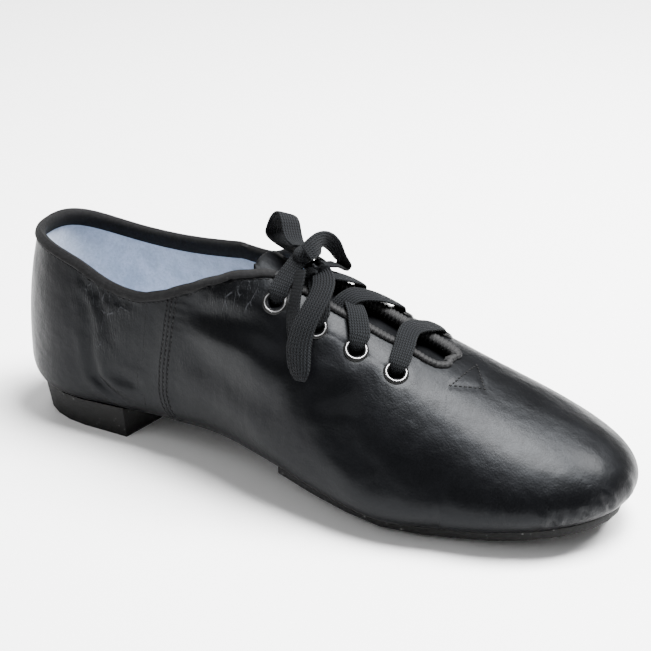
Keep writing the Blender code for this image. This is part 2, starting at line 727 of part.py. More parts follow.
def lace_strap(side, word, finish):
    """The run from the pair nearest the ankle up to the knot."""
    along, start = eyelet_row(1, side)
    pitch = EYELET_PITCH / LENGTH
    rows = [(along - pitch * run, start * share, lift) for run, share, lift in STRAP_RUN]
    add_object(f"lace_strap_{word}", laid_ribbon(rows, RUN_RINGS), finish)


def lace_bow(finish):
    """Knot and loops: cords, whose routes are chosen points."""
    bm = bmesh.new()
    bmesh.ops.create_uvsphere(bm, u_segments=12, v_segments=8, radius=1)
    bmesh.ops.scale(bm, vec=Vector(KNOT_HALF), verts=bm.verts)
    bmesh.ops.translate(bm, vec=Vector(KNOT_CENTRE), verts=bm.verts)
    add_object("lace_knot", bm, finish)
    loops = (("lace_loop_back", LOOP_BACK, LOOP_BACK_ACROSS),
             ("lace_loop_front", LOOP_FRONT, LOOP_FRONT_ACROSS))
    for name, route, (first, last) in loops:
        centres = smooth_rows(route, LOOP_RINGS)
        add_object(name, ribbon_mesh(centres, np.linspace(first, last, LOOP_RINGS)), finish)
    rings = LOOP_RINGS + 4
    centres, _normals = laid_line(LOOP_HANGING, rings)
    hanging = ribbon_mesh(centres, np.tile(LOOP_HANGING_ACROSS, (rings, 1)))
    add_object("lace_loop_hanging", hanging, finish)


def sole_rows(start, stop, count, sides, angles):
    """Rows of a piece under the foot between two distances from the heel."""
    rows = []
    for t in np.linspace(0, 1, count):
        if start is None:
            spread = 1 - math.cos(math.pi / 2 * t)
            reach, _rise = reach_and_rise(np.zeros(len(angles)), angles)
            first, _stop = ends(angles, reach)
            x = first + (stop - first) * spread
            alongs = along_at(x, angles) if t > 0 else np.zeros(len(angles))
        elif stop is None:
            spread = math.sin(math.pi / 2 * t)
            reach, _rise = reach_and_rise(np.ones(len(angles)), angles)
            _start, last = ends(angles, reach)
            x = start + (last - start) * spread
            alongs = along_at(x, angles) if t < 1 else np.ones(len(angles))
        else:
            x = start + (stop - start) * t
            alongs = along_at(x, angles)
        rows.append((alongs, sides, angles))
    return rows


def heel_part(finish):
    """The block: its top takes the seat of the upper, its floor is flat, its breast is straight."""
    count, columns = HEEL_GRID
    sides, angles = across(HEEL_CUP, columns)
    half = section("width", HEEL_LENGTH / LENGTH) * BALL_WIDTH / 2
    breast = HEEL_LENGTH + HEEL_SLANT * np.linspace(-HEEL_CUP, HEEL_CUP, columns) * half
    rows = sole_rows(None, breast, count, sides, angles)
    grid = [leather(along, angle, side, -SEAT_GAP) for along, side, angle in rows]
    bm = bmesh.new()
    top = grid_faces(bm, grid)
    loop = [row[0] for row in top[::-1]] + [row[-1] for row in top[1:]] + top[-1][-2:0:-1]
    middle = Vector((HEEL_LENGTH / 2, 0, 0))
    floor = []
    for vert in loop:
        spot = Vector((vert.co.x, vert.co.y, 0))
        inward = (middle - spot).normalized() * HEEL_FLARE
        if vert in top[-1]:
            inward.x = 0
        floor.append(bm.verts.new(spot + inward))
    wall_faces(bm, loop + loop[:1], floor + floor[:1])
    bm.faces.new(floor)
    finish_solid(bm)
    return add_object("heel", bm, finish)


def pad_part(finish):
    """The forefoot pad: it follows the upper's underside and stands flat under the ball."""
    count, columns = PAD_GRID
    sides, angles = across(PAD_REACH, columns)
    rows = sole_rows(PAD_BACK, None, count, sides, angles)
    grid = [leather(along, angle, side, -SEAT_GAP) for along, side, angle in rows]
    drop = np.array((0, 0, SOLE_THICKNESS + PAD_PRESS))
    low = [np.maximum(row - drop, (-1, -1, 0)) for row in grid]
    bm = bmesh.new()
    top = grid_faces(bm, grid)
    floor = grid_faces(bm, low)
    wall_faces(bm, [row[0] for row in top], [row[0] for row in floor])
    wall_faces(bm, [row[-1] for row in top], [row[-1] for row in floor])
    wall_faces(bm, top[0], floor[0])
    finish_solid(bm)
    return add_object("forefoot_sole", bm, finish)


def insole_part(finish):
    """The sheet on the foot bed, from heel to toe."""
    count, columns = INSOLE_GRID
    sides, angles = across(INSOLE_REACH, columns)
    rows = sole_rows(None, PAD_BACK, count // 2, sides, angles)
    rows += sole_rows(PAD_BACK, None, count // 2 + 2, sides, angles)[1:]
    near = WALL + INSOLE_GAP
    return sheet_solid("insole", rows, near, near + INSOLE_THICKNESS, finish, True, True)


def tongue_part(finish):
    """The leather sheet under the laces, rounded at its back end."""
    count, columns = TONGUE_GRID
    rows = []
    for t in np.linspace(0, 1, count):
        x = TONGUE_BACK + (TONGUE_FRONT - TONGUE_BACK) * t
        corner = np.clip(1 - t / TONGUE_ROUND, 0, 1)
        reach = TONGUE_REACH * (1 - TONGUE_TAPER * corner ** 2)
        sides, angles = across(reach, columns, under=False)
        rows.append((along_at(np.full(len(angles), x), angles), sides, angles))
    return sheet_solid("tongue", rows, TONGUE_DEPTH, TONGUE_DEPTH + TONGUE_THICKNESS, finish)


for old in list(bpy.data.objects):
    bpy.data.objects.remove(old)
SHOE = parts_collection("jazz_shoe")
CUTTERS = parts_collection("cutters")
BLACK_LEATHER = material("black_leather", (0.012, 0.012, 0.013), 0.42)
BLACK_CLOTH = material("black_cloth", (0.015, 0.015, 0.016), 0.75)
RIBBED_TAPE = material("ribbed_tape", (0.018, 0.018, 0.019), 0.8)
BLACK_RUBBER = material("black_rubber", (0.02, 0.02, 0.02), 0.7)
GREY_FELT = material("grey_felt", (0.55, 0.57, 0.58), 0.95)
WOVEN_LACE = material("woven_lace", (0.022, 0.022, 0.024), 0.85)
BLACK_ENAMEL = material("black_enamel", (0.01, 0.01, 0.01), 0.25, 0.6)

upper_part(BLACK_LEATHER)
heel_part(BLACK_RUBBER)
pad_part(BLACK_RUBBER)
insole_part(GREY_FELT)
tongue_part(BLACK_LEATHER)
bands(BLACK_CLOTH, RIBBED_TAPE)
for eyelet_name, (eyelet_point, eyelet_normal) in eyelet_places().items():
    eyelet_part(eyelet_name, eyelet_point, eyelet_normal, BLACK_ENAMEL)
lace_bar(WOVEN_LACE)
for pair in range(2, EYELET_PAIRS):
    lace_crossing(pair - 1, WOVEN_LACE)
lace_strap(OUTER, "outer", WOVEN_LACE)
lace_strap(INNER, "inner", WOVEN_LACE)
lace_bow(WOVEN_LACE)
for part in list(SHOE.objects) + list(CUTTERS.objects):
    part.location.x -= HEEL_REST
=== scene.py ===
import math

import bmesh
import bpy
import numpy as np
from mathutils import Matrix, Vector
from mathutils.bvhtree import BVHTree


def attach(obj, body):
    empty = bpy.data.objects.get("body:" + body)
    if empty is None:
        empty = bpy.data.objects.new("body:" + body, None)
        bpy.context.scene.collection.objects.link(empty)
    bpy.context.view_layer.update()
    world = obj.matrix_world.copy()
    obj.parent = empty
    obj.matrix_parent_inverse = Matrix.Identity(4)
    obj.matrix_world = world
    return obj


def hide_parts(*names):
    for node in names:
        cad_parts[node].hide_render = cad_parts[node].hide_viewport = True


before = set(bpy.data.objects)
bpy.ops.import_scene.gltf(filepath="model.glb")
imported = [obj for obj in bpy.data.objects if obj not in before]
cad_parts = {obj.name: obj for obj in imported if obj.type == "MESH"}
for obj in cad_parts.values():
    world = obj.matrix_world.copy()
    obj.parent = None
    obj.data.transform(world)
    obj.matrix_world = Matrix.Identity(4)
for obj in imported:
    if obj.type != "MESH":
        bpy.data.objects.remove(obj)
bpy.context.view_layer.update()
print("frame loaded:", len(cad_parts), "nodes")

# camera: the photograph's angle
view = {"azimuth": 29.671, "elevation": 26.690, "distance": 0.640676, "aim": (0.097, 0.0, 0.035),
        "lens": 94.41, "shift": (0.0180, 0.0727)}


def placeCamera():
    az = math.radians(view["azimuth"])
    el = math.radians(view["elevation"])
    back = Vector((math.sin(az) * math.cos(el), -math.cos(az) * math.cos(el), math.sin(el)))
    data = bpy.data.cameras.new("photoCamera")
    data.lens = view["lens"]
    data.sensor_width = 36
    data.sensor_fit = "HORIZONTAL"
    data.shift_x, data.shift_y = view["shift"]
    data.clip_start = 0.01
    data.clip_end = 20
    camera = bpy.data.objects.new("photoCamera", data)
    camera.location = Vector(view["aim"]) + back * view["distance"]
    camera.rotation_euler = back.to_track_quat("Z", "Y").to_euler()
    bpy.context.scene.collection.objects.link(camera)
    bpy.context.scene.camera = camera


placeCamera()
print("camera placed")


# small tools for every piece
def unit(rows):
    rows = np.asarray(rows, float)
    return rows / np.maximum(np.linalg.norm(rows, axis=-1, keepdims=True), 1e-12)


# evenly spaced points on a smooth curve through a few given ones
def smoothLine(points, step):
    fineSteps = 24
    pts = np.array(points, float)
    pad = np.vstack([2 * pts[0] - pts[1], pts, 2 * pts[-1] - pts[-2]])
    fine = []
    for k in range(len(pts) - 1):
        a, b, c, d = pad[k:k + 4]
        for t in np.linspace(0, 1, fineSteps, endpoint=False):
            fine.append(0.5 * (2 * b + (c - a) * t + (2 * a - 5 * b + 4 * c - d) * t ** 2
                               + (3 * b - a - 3 * c + d) * t ** 3))
    fine.append(pts[-1])
    fine = np.array(fine)
    run = np.concatenate([[0], np.cumsum(np.linalg.norm(np.diff(fine[:, :3], axis=0), axis=1))])
    count = max(int(run[-1] / step), 3)
    at = np.linspace(0, run[-1], count + 1)
    return np.stack([np.interp(at, run, fine[:, k]) for k in range(fine.shape[1])], axis=1)


def addPiece(name, bm, finishes, sharp):
    mesh = bpy.data.meshes.new(name)
    bm.to_mesh(mesh)
    bm.free()
    mesh.shade_smooth()
    mesh.set_sharp_from_angle(angle=math.radians(sharp))
    piece = bpy.data.objects.new(name, mesh)
    for finish in finishes:
        mesh.materials.append(finish)
    bpy.context.scene.collection.objects.link(piece)
    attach(piece, "root")
    return piece


# a welded copy of a CAD node, its triangles joined to quads where they make one
weld = {"reach": 0.00001, "faceAngle": 50, "shapeAngle": 80}


def nodeCopy(node):
    bm = bmesh.new()
    bm.from_mesh(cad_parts[node].data)
    bmesh.ops.remove_doubles(bm, verts=bm.verts, dist=weld["reach"])
    bmesh.ops.join_triangles(bm, faces=bm.faces, angle_face_threshold=math.radians(weld["faceAngle"]),
                             angle_shape_threshold=math.radians(weld["shapeAngle"]))
    return bm


# a closed tube through equal rings of points, extruded ring by ring; weave is the run along
# and the place across of every point, kept for the cloth
def sweep(rings, weave):
    bm = bmesh.new()
    layer = bm.verts.layers.float_vector.new("weave")
    first = [bm.verts.new(p) for p in rings[0]]
    for k, vert in enumerate(first):
        vert[layer] = weave[0][k]
    start = bm.faces.new(first)
    edges = list(start.edges)
    order = first
    for ring, marks in zip(rings[1:], weave[1:]):
        made = bmesh.ops.extrude_edge_only(bm, edges=edges)["geom"]
        edges = [g for g in made if isinstance(g, bmesh.types.BMEdge)
                 and all(v not in order for v in g.verts)]
        nextOrder = []
        for vert in order:
            link = [e.other_vert(vert) for e in vert.link_edges if e.other_vert(vert) not in order
                    and e.other_vert(vert) in {v for g in edges for v in g.verts}]
            nextOrder.append(link[0])
        for k, vert in enumerate(nextOrder):
            vert.co = ring[k]
            vert[layer] = marks[k]
        order = nextOrder
    bm.faces.new(order)
    bmesh.ops.recalc_face_normals(bm, faces=bm.faces)
    return bm


print("tools ready")

# materials
leatherLook = {"colour": (0.0008, 0.00085, 0.0011), "worn": (0.0020, 0.0021, 0.0028),
               "crackle": (0.045, 0.047, 0.052), "roughness": 0.37, "gloss": 0.075,
               "grainSize": 0.00075, "grainDepth": 0.00006, "coat": 0.04, "coatRoughness": 0.20,
               "tint": (0.88, 0.93, 1.0, 1.0), "mottleSize": 0.018, "softSize": 0.011, "softDepth": 0.0006,
               "foldSize": 0.0022, "foldDepth": 0.0016, "crackSize": 0.0034, "crackDepth": 0.0003,
               "rowDepth": 0.0005}
liningLook = {"colour": (0.50, 0.56, 0.67), "shade": (0.33, 0.38, 0.47), "napSize": 0.0012,
              "blotchSize": 0.009, "depth": 0.0005,
              "surface": {"Roughness": 0.95, "Sheen Weight": 0.35, "Specular IOR Level": 0.2}}
clothLook = {"colour": (0.0030, 0.0030, 0.0033), "fuzz": (0.0085, 0.0085, 0.0090), "threadRate": 9000.0,
             "fuzzSize": 0.0012, "depth": 0.00006,
             "surface": {"Roughness": 0.85, "Sheen Weight": 0.012, "Specular IOR Level": 0.12}}
tapeLook = {"colour": (0.0025, 0.0025, 0.0028), "fuzz": (0.0085, 0.0085, 0.0092), "fuzzSize": 0.0006,
            "depth": 0.00008,
            "surface": {"Roughness": 0.65, "Sheen Weight": 0.015, "Specular IOR Level": 0.18}}
# in the lace, colour is painted in the weave's grooves as painted shade and pale on its ridges as painted
# light, by the weave's height
laceLook = {"colour": (0.0006, 0.0007, 0.0008), "pale": (0.0085, 0.0095, 0.0110), "ribs": 8.0,
            "pitch": 0.0012, "slant": 9.0, "waleHeight": 1.4, "chevronHeight": 0.45, "fuzzHeight": 0.5,
            "fuzzSize": 0.0005, "depth": 0.00030,
            "surface": {"Roughness": 0.88, "Sheen Weight": 0.008, "Sheen Roughness": 0.5,
                        "Specular IOR Level": 0.09}}
rubberLook = {"colour": (0.0045, 0.0045, 0.0045), "speck": (0.09, 0.09, 0.09), "speckSize": 0.0022,
              "dustSize": 0.004, "grainSize": 0.0009, "depth": 0.0003,
              "surface": {"Roughness": 0.72, "Specular IOR Level": 0.2}}
enamelLook = {"colour": (0.006, 0.006, 0.006), "wearSize": 0.0013, "depth": 0.00003, "gloss": 0.12}
ringLook = {"colour": (0.20, 0.20, 0.205)}
threadLook = {"colour": (0.0012, 0.0012, 0.0013), "twistSize": 0.0004, "depth": 0.00005,
              "surface": {"Roughness": 0.6, "Specular IOR Level": 0.12}}
seam = {"width": 0.0050, "rise": 0.00040, "pucker": 0.00026, "puckerPitch": 0.0034, "rowGap": 0.0018,
        "reach": 0.012, "puckerReach": 0.010, "far": 0.05}


# short hand for a material's nodes
class Nodes:
    def __init__(self, name):
        self.material = bpy.data.materials.new(name)
        self.material.use_nodes = True
        self.tree = self.material.node_tree
        self.shader = self.tree.nodes["Principled BSDF"]
        self.place = self.add("ShaderNodeTexCoord").outputs["Object"]

    def add(self, kind, **values):
        node = self.tree.nodes.new(kind)
        for key, value in values.items():
            setattr(node, key, value)
        return node

    def put(self, socket, value):
        if isinstance(value, bpy.types.NodeSocket):
            self.tree.links.new(value, socket)
        else:
            socket.default_value = value

    def noise(self, size, detail=3.0, vector=None, rough=0.55):
        node = self.add("ShaderNodeTexNoise")
        self.put(node.inputs["Vector"], vector or self.place)
        node.inputs["Scale"].default_value = 1 / size
        node.inputs["Detail"].default_value = detail
        node.inputs["Roughness"].default_value = rough
        return node.outputs["Fac"]

    def cells(self, size, feature="F1", vector=None):
        node = self.add("ShaderNodeTexVoronoi", feature=feature)
        self.put(node.inputs["Vector"], vector or self.place)
        node.inputs["Scale"].default_value = 1 / size
        return node.outputs["Distance"]

    def maths(self, operation, a, b=0.0):
        node = self.add("ShaderNodeMath", operation=operation)
        self.put(node.inputs[0], a)
        self.put(node.inputs[1], b)
        return node.outputs[0]

    def spread(self, value, low, high, start=0.0, stop=1.0):
        node = self.add("ShaderNodeMapRange", interpolation_type="SMOOTHSTEP")
        self.put(node.inputs["Value"], value)
        for name, edge in (("From Min", low), ("From Max", high), ("To Min", start), ("To Max", stop)):
            node.inputs[name].default_value = edge
        return node.outputs["Result"]

    def blend(self, share, first, second):
        node = self.add("ShaderNodeMix", data_type="RGBA")
        self.put(node.inputs["Factor"], share)
        node.inputs["A"].default_value = (*first, 1)
        node.inputs["B"].default_value = (*second, 1)
        return node.outputs["Result"]

    def bump(self, height, distance, before=None):
        node = self.add("ShaderNodeBump")
        self.put(node.inputs["Height"], height)
        node.inputs["Distance"].default_value = distance
        node.inputs["Strength"].default_value = 1.0
        if before is not None:
            self.put(node.inputs["Normal"], before)
        return node.outputs["Normal"]

    def attribute(self, name):
        return self.add("ShaderNodeAttribute", attribute_name=name)

    # sets the shader's sockets by name and hands back the material
    def build(self, values):
        for name, value in values.items():
            self.put(self.shader.inputs[name], value)
        return self.material


def leatherFinish(name, look, grainOnly=False):
    n = Nodes(name)
    grain = n.cells(look["grainSize"], "SMOOTH_F1")
    pores = n.noise(look["grainSize"] * 0.45, 2.0)
    mottle = n.noise(look["mottleSize"], 3.0)
    colour = n.blend(n.spread(mottle, 0.42, 0.72, 0.0, 0.35), look["colour"], look["worn"])
    rough = n.maths("ADD", n.maths("MULTIPLY", grain, 0.10),
                    n.spread(mottle, 0.3, 0.7, look["roughness"] - 0.04, look["roughness"] + 0.05))
    height = n.maths("ADD", n.maths("MULTIPLY", grain, 0.8), n.maths("MULTIPLY", pores, 0.35))
    first = n.bump(height, look["grainDepth"])
    if not grainOnly:
        mask = n.attribute("wrinkle").outputs["Fac"]
        stretched = n.add("ShaderNodeMapping")
        n.put(stretched.inputs["Vector"], n.place)
        stretched.inputs["Rotation"].default_value = (0.0, 0.35, 0.0)
        stretched.inputs["Scale"].default_value = (1.0, 0.6, 0.28)
        fine = n.noise(look["foldSize"], 4.0, stretched.outputs["Vector"], 0.65)
        folds = n.maths("ABSOLUTE", n.maths("SUBTRACT", fine, 0.5))
        first = n.bump(n.maths("MULTIPLY", folds, mask), look["foldDepth"], first)
        lines = n.cells(look["crackSize"], "DISTANCE_TO_EDGE", stretched.outputs["Vector"])
        patches = n.spread(n.noise(0.0045, 3.0), 0.42, 0.60)
        cracks = n.maths("MULTIPLY", n.spread(lines, 0.0, 0.055, 1.0, 0.0),
                         n.maths("MULTIPLY", patches, n.spread(mask, 0.35, 0.8)))
        first = n.bump(cracks, look["crackDepth"], first)
        across = n.attribute("seam").outputs["Fac"]
        gap = seam["rowGap"]
        row = n.spread(n.maths("PINGPONG", across, gap / 2), 0.0, gap * 0.28, 1.0, 0.0)
        near = n.spread(n.maths("ABSOLUTE", across), gap * 1.3, gap * 1.45, 1.0, 0.0)
        row = n.maths("MULTIPLY", row, near)
        first = n.bump(n.maths("MULTIPLY", row, -1.0), look["rowDepth"], first)
        shaded = n.add("ShaderNodeMix", data_type="RGBA")
        n.put(shaded.inputs["Factor"], n.maths("MULTIPLY", cracks, 0.6))
        n.put(shaded.inputs["A"], colour)
        shaded.inputs["B"].default_value = (*look["crackle"], 1)
        colour = shaded.outputs["Result"]
    soft = n.noise(look["softSize"], 2.0)
    return n.build({"Base Color": colour, "Roughness": rough, "Coat Weight": look["coat"],
                    "Coat Roughness": look["coatRoughness"], "Specular IOR Level": look["gloss"],
                    "Specular Tint": look["tint"], "Normal": n.bump(soft, look["softDepth"], first)})


def liningFinish(name):
    n = Nodes(name)
    look = liningLook
    nap = n.noise(look["napSize"], 5.0, rough=0.7)
    blotch = n.noise(look["blotchSize"], 3.0)
    share = n.spread(n.maths("ADD", nap, blotch), 0.7, 1.3)
    colour = n.blend(share, look["shade"], look["colour"])
    height = n.maths("ADD", nap, n.maths("MULTIPLY", blotch, 2.0))
    return n.build({**look["surface"], "Base Color": colour, "Normal": n.bump(height, look["depth"])})


def clothFinish(name):
    n = Nodes(name)
    look = clothLook
    split = n.add("ShaderNodeSeparateXYZ")
    n.put(split.inputs[0], n.attribute("weave").outputs["Vector"])
    along, across = split.outputs["X"], split.outputs["Y"]
    warp = n.maths("SINE", n.maths("MULTIPLY", n.maths("ADD", along, across), look["threadRate"]))
    weft = n.maths("SINE", n.maths("MULTIPLY", n.maths("SUBTRACT", along, across), look["threadRate"]))
    fuzz = n.noise(look["fuzzSize"], 4.0, rough=0.7)
    colour = n.blend(n.spread(fuzz, 0.35, 0.8), look["colour"], look["fuzz"])
    threads = n.maths("MULTIPLY", n.maths("MULTIPLY", warp, weft), 0.5)
    height = n.maths("ADD", threads, n.maths("MULTIPLY", fuzz, 1.5))
    return n.build({**look["surface"], "Base Color": colour, "Normal": n.bump(height, look["depth"])})


def tapeFinish(name):
    n = Nodes(name)
    look = tapeLook
    fuzz = n.noise(look["fuzzSize"], 4.0, rough=0.7)
    colour = n.blend(n.spread(fuzz, 0.35, 0.75), look["colour"], look["fuzz"])
    return n.build({**look["surface"], "Base Color": colour, "Normal": n.bump(fuzz, look["depth"])})


def laceFinish(name):
    look = laceLook
    n = Nodes(name)
    split = n.add("ShaderNodeSeparateXYZ")
    n.put(split.inputs[0], n.attribute("weave").outputs["Vector"])
    along, acrossIt = split.outputs["X"], split.outputs["Y"]
    wales = n.maths("ABSOLUTE", n.maths("SINE", n.maths("MULTIPLY", acrossIt, math.pi * look["ribs"] / 2)))
    saw = n.maths("PINGPONG", n.maths("MULTIPLY", acrossIt, look["ribs"] / 2), 0.5)
    chevron = n.maths("SINE", n.maths("ADD", n.maths("MULTIPLY", along, 2 * math.pi / look["pitch"]),
                                      n.maths("MULTIPLY", saw, look["slant"])))
    fuzz = n.noise(look["fuzzSize"], 4.0, rough=0.75)
    weaveHeight = n.maths("ADD", n.maths("MULTIPLY", wales, look["waleHeight"]),
                          n.maths("MULTIPLY", chevron, look["chevronHeight"]))
    height = n.maths("ADD", weaveHeight, n.maths("MULTIPLY", fuzz, look["fuzzHeight"]))
    # the weave's ridges are painted paler and its grooves darker by their height, painted light on the ridges
    # and painted shade in the grooves; the fuzz adds random tone
    grooveShadeAndFuzzTone = n.maths("ADD", n.maths("MULTIPLY", height, 0.40), n.maths("MULTIPLY", fuzz, 0.3))
    grooveShadeAndFuzzTone = n.spread(grooveShadeAndFuzzTone, 0.15, 0.95)
    colour = n.blend(grooveShadeAndFuzzTone, look["colour"], look["pale"])
    return n.build({**look["surface"], "Base Color": colour, "Normal": n.bump(height, look["depth"])})


def rubberFinish(name):
    n = Nodes(name)
    look = rubberLook
    speck = n.cells(look["speckSize"])
    dust = n.noise(look["dustSize"], 5.0, rough=0.7)
    share = n.maths("MULTIPLY", n.spread(speck, 0.10, 0.25, 1.0, 0.0), n.spread(dust, 0.48, 0.62))
    colour = n.blend(share, look["colour"], look["speck"])
    height = n.maths("ADD", n.noise(look["grainSize"], 4.0, rough=0.7), dust)
    return n.build({**look["surface"], "Base Color": colour, "Normal": n.bump(height, look["depth"])})


def enamelFinish(name, colour, metallic, roughness):
    n = Nodes(name)
    wear = n.noise(enamelLook["wearSize"], 3.0)
    rubbed = tuple(min(c * 3 + 0.02, 1) for c in colour)
    worn = n.blend(n.spread(wear, 0.55, 0.8, 0.0, 0.4), colour, rubbed)
    rough = n.spread(wear, 0.3, 0.8, roughness, roughness + 0.12)
    return n.build({"Base Color": worn, "Metallic": metallic, "Roughness": rough,
                    "Specular IOR Level": enamelLook["gloss"], "Normal": n.bump(wear, enamelLook["depth"])})


def threadFinish(name):
    look = threadLook
    n = Nodes(name)
    twist = n.noise(look["twistSize"], 2.0)
    lit = tuple(c * 2.2 for c in look["colour"])
    colour = n.blend(twist, look["colour"], lit)
    return n.build({**look["surface"], "Base Color": colour, "Normal": n.bump(twist, look["depth"])})


blackLeather = leatherFinish("blackLeather", leatherLook)
tongueLook = {**leatherLook, "gloss": 0.05, "roughness": 0.45, "coat": 0.0}
tongueLeather = leatherFinish("tongueLeather", tongueLook, True)
paleLining = liningFinish("paleLining")
collarCloth = clothFinish("collarCloth")
ribbedTape = tapeFinish("ribbedTape")
wovenLace = laceFinish("wovenLace")
heelRubber = rubberFinish("heelRubber")
blackEnamel = enamelFinish("blackEnamel", enamelLook["colour"], 0.0, 0.30)
wornRing = enamelFinish("wornRing", ringLook["colour"], 1.0, 0.30)
blackThread = threadFinish("blackThread")
print("materials ready")

# laces: flat woven cord
lace = {"width": 0.0076, "thickness": 0.0011, "step": 0.0007, "corners": 16, "flatness": 0.55,
        "roundness": 0.75}


# rings of a flat lace; sides point across it, cups bend its edges toward its under side
def ribbonRings(points, sides, widths, cups):
    tangent = unit(np.gradient(points, axis=0))
    side = unit(sides - tangent * (sides * tangent).sum(1, keepdims=True))
    up = np.cross(side, tangent)
    turn = np.linspace(0, 2 * math.pi, lace["corners"], endpoint=False)
    flat = np.sign(np.cos(turn)) * np.abs(np.cos(turn)) ** lace["flatness"]
    tall = np.sign(np.sin(turn)) * np.abs(np.sin(turn)) ** lace["roundness"]
    run = np.concatenate([[0], np.cumsum(np.linalg.norm(np.diff(points, axis=0), axis=1))])
    rings, weave = [], []
    for k in range(len(points)):
        x = flat * lace["width"] / 2 * widths[k]
        z = tall * lace["thickness"] / 2 - cups[k] * flat ** 2
        rings.append([Vector(points[k] + side[k] * a + up[k] * b) for a, b in zip(x, z)])
        weave.append([Vector((run[k], f, 0)) for f in flat])
    return rings, weave, float(run[-1])


# rows: place, direction across the lace (or out of its flat face), share of width, cup
def laceRun(name, rows, nodes=(), faced=False):
    line = smoothLine([(*p, *d, w, c) for p, d, w, c in rows], lace["step"])
    points, sides = line[:, :3], unit(line[:, 3:6])
    if faced:
        sides = np.cross(unit(np.gradient(points, axis=0)), sides)
    rings, weave, length = ribbonRings(points, sides, line[:, 6], line[:, 7])
    piece = addPiece(name, sweep(rings, weave), [wovenLace], sharp=80)
    for node in nodes:
        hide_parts(node)
    return piece, points, length


knot = {"centre": (0.0990, -0.0100, 0.0873), "half": (0.0041, 0.0044, 0.0033), "pinch": 0.10,
        "weaveReach": 0.004, "segments": 24, "rings": 16}
loopBack = [
    ((0.0952, -0.0070, 0.0882), (0.60, 0.75, -0.30), 0.80, 0.0),
    ((0.0910, -0.0035, 0.0887), (0.59, 0.77, -0.28), 1.00, 0.0),
    ((0.0884, -0.0009, 0.0908), (0.58, 0.78, -0.26), 1.05, 0.0),
    ((0.0862, 0.0015, 0.0936), (0.58, 0.78, -0.28), 1.05, 0.0),
    ((0.0828, 0.0044, 0.0945), (0.62, 0.74, -0.38), 1.05, 0.0),
    ((0.0786, 0.0072, 0.0915), (0.66, 0.72, -0.25), 1.00, 0.0),
    ((0.0762, 0.0083, 0.0873), (0.64, 0.75, -0.19), 1.00, 0.0),
    ((0.0756, 0.0080, 0.0845), (0.60, 0.76, -0.23), 1.00, 0.0),
    ((0.0780, 0.0058, 0.0837), (0.61, 0.76, -0.23), 1.00, 0.0),
    ((0.0828, 0.0021, 0.0839), (0.61, 0.76, -0.22), 0.95, 0.0),
    ((0.0882, -0.0021, 0.0846), (0.61, 0.76, -0.21), 0.85, 0.0),
    ((0.0947, -0.0070, 0.0857), (0.61, 0.77, -0.20), 0.75, 0.0),
]
loopFront = [
    ((0.1022, -0.0144, 0.0899), (-0.59, -0.10, 0.80), 0.90, 0.0),
    ((0.1031, -0.0111, 0.0910), (-0.50, -0.12, 0.86), 1.00, 0.0),
    ((0.1030, -0.0071, 0.0912), (-0.25, 0.00, 0.97), 1.05, 0.0),
    ((0.1025, -0.0022, 0.0902), (0.35, 0.25, 0.90), 1.05, 0.0),
    ((0.1028, 0.0026, 0.0873), (0.90, 0.10, 0.40), 1.05, 0.0),
    ((0.1034, 0.0062, 0.0827), (0.99, -0.12, 0.06), 1.00, 0.0),
    ((0.1040, 0.0088, 0.0790), (0.99, -0.17, 0.01), 1.00, 0.0),
    ((0.1041, 0.0101, 0.0776), (0.98, -0.20, -0.10), 0.95, 0.0),
    ((0.1039, 0.0096, 0.0764), (1.00, -0.08, -0.01), 0.90, 0.0),
    ((0.1039, 0.0077, 0.0766), (0.98, -0.04, -0.19), 0.85, 0.0),
    ((0.1041, 0.0048, 0.0786), (0.97, -0.01, -0.26), 0.75, 0.0),
    ((0.1048, 0.0014, 0.0803), (0.97, -0.08, -0.23), 0.65, 0.0),
    ((0.1042, -0.0022, 0.0815), (0.94, -0.31, -0.16), 0.60, 0.0),
    ((0.1030, -0.0053, 0.0829), (0.90, -0.41, -0.13), 0.60, 0.0),
]
loopHanging = [
    ((0.1037, -0.0115, 0.0842), (0.90, -0.30, -0.20), 0.80, 0.0),
    ((0.1069, -0.0120, 0.0827), (0.85, -0.30, -0.25), 0.95, 0.0),
    ((0.1099, -0.0156, 0.0809), (0.95, -0.20, -0.10), 1.10, 0.0),
    ((0.1116, -0.0206, 0.0786), (1.00, -0.10, -0.05), 1.15, 0.0),
    ((0.1117, -0.0265, 0.0752), (1.00, 0.00, 0.00), 1.18, -0.0001),
    ((0.1109, -0.0314, 0.0705), (1.00, 0.05, 0.05), 1.22, -0.0004),
    ((0.1106, -0.0349, 0.0648), (1.00, 0.05, 0.05), 1.28, -0.0009),
    ((0.1114, -0.0371, 0.0602), (1.00, 0.00, 0.05), 1.28, -0.0013),
    ((0.1126, -0.0384, 0.0564), (1.00, 0.00, 0.05), 1.10, -0.0012),
    ((0.1131, -0.0387, 0.0538), (1.00, 0.00, 0.05), 0.80, -0.0006),
    ((0.1130, -0.0378, 0.0527), (1.00, 0.00, 0.05), 0.55, 0.0),
    ((0.1126, -0.0365, 0.0536), (1.00, 0.00, 0.05), 0.78, 0.0),
    ((0.1116, -0.0349, 0.0566), (1.00, 0.00, 0.05), 1.05, 0.0),
    ((0.1101, -0.0333, 0.0605), (1.00, 0.00, 0.00), 1.10, 0.0),
    ((0.1082, -0.0314, 0.0647), (0.98, -0.05, 0.10), 1.05, 0.0),
    ((0.1059, -0.0295, 0.0689), (0.92, -0.15, 0.25), 1.00, 0.0),
    ((0.1042, -0.0271, 0.0729), (0.88, -0.25, 0.35), 0.90, 0.0),
    ((0.1038, -0.0250, 0.0773), (0.88, -0.32, 0.35), 0.85, 0.0),
    ((0.1036, -0.0222, 0.0820), (0.88, -0.32, 0.35), 0.80, 0.0),
    ((0.1031, -0.0196, 0.0855), (0.88, -0.30, 0.30), 0.70, 0.0),
]


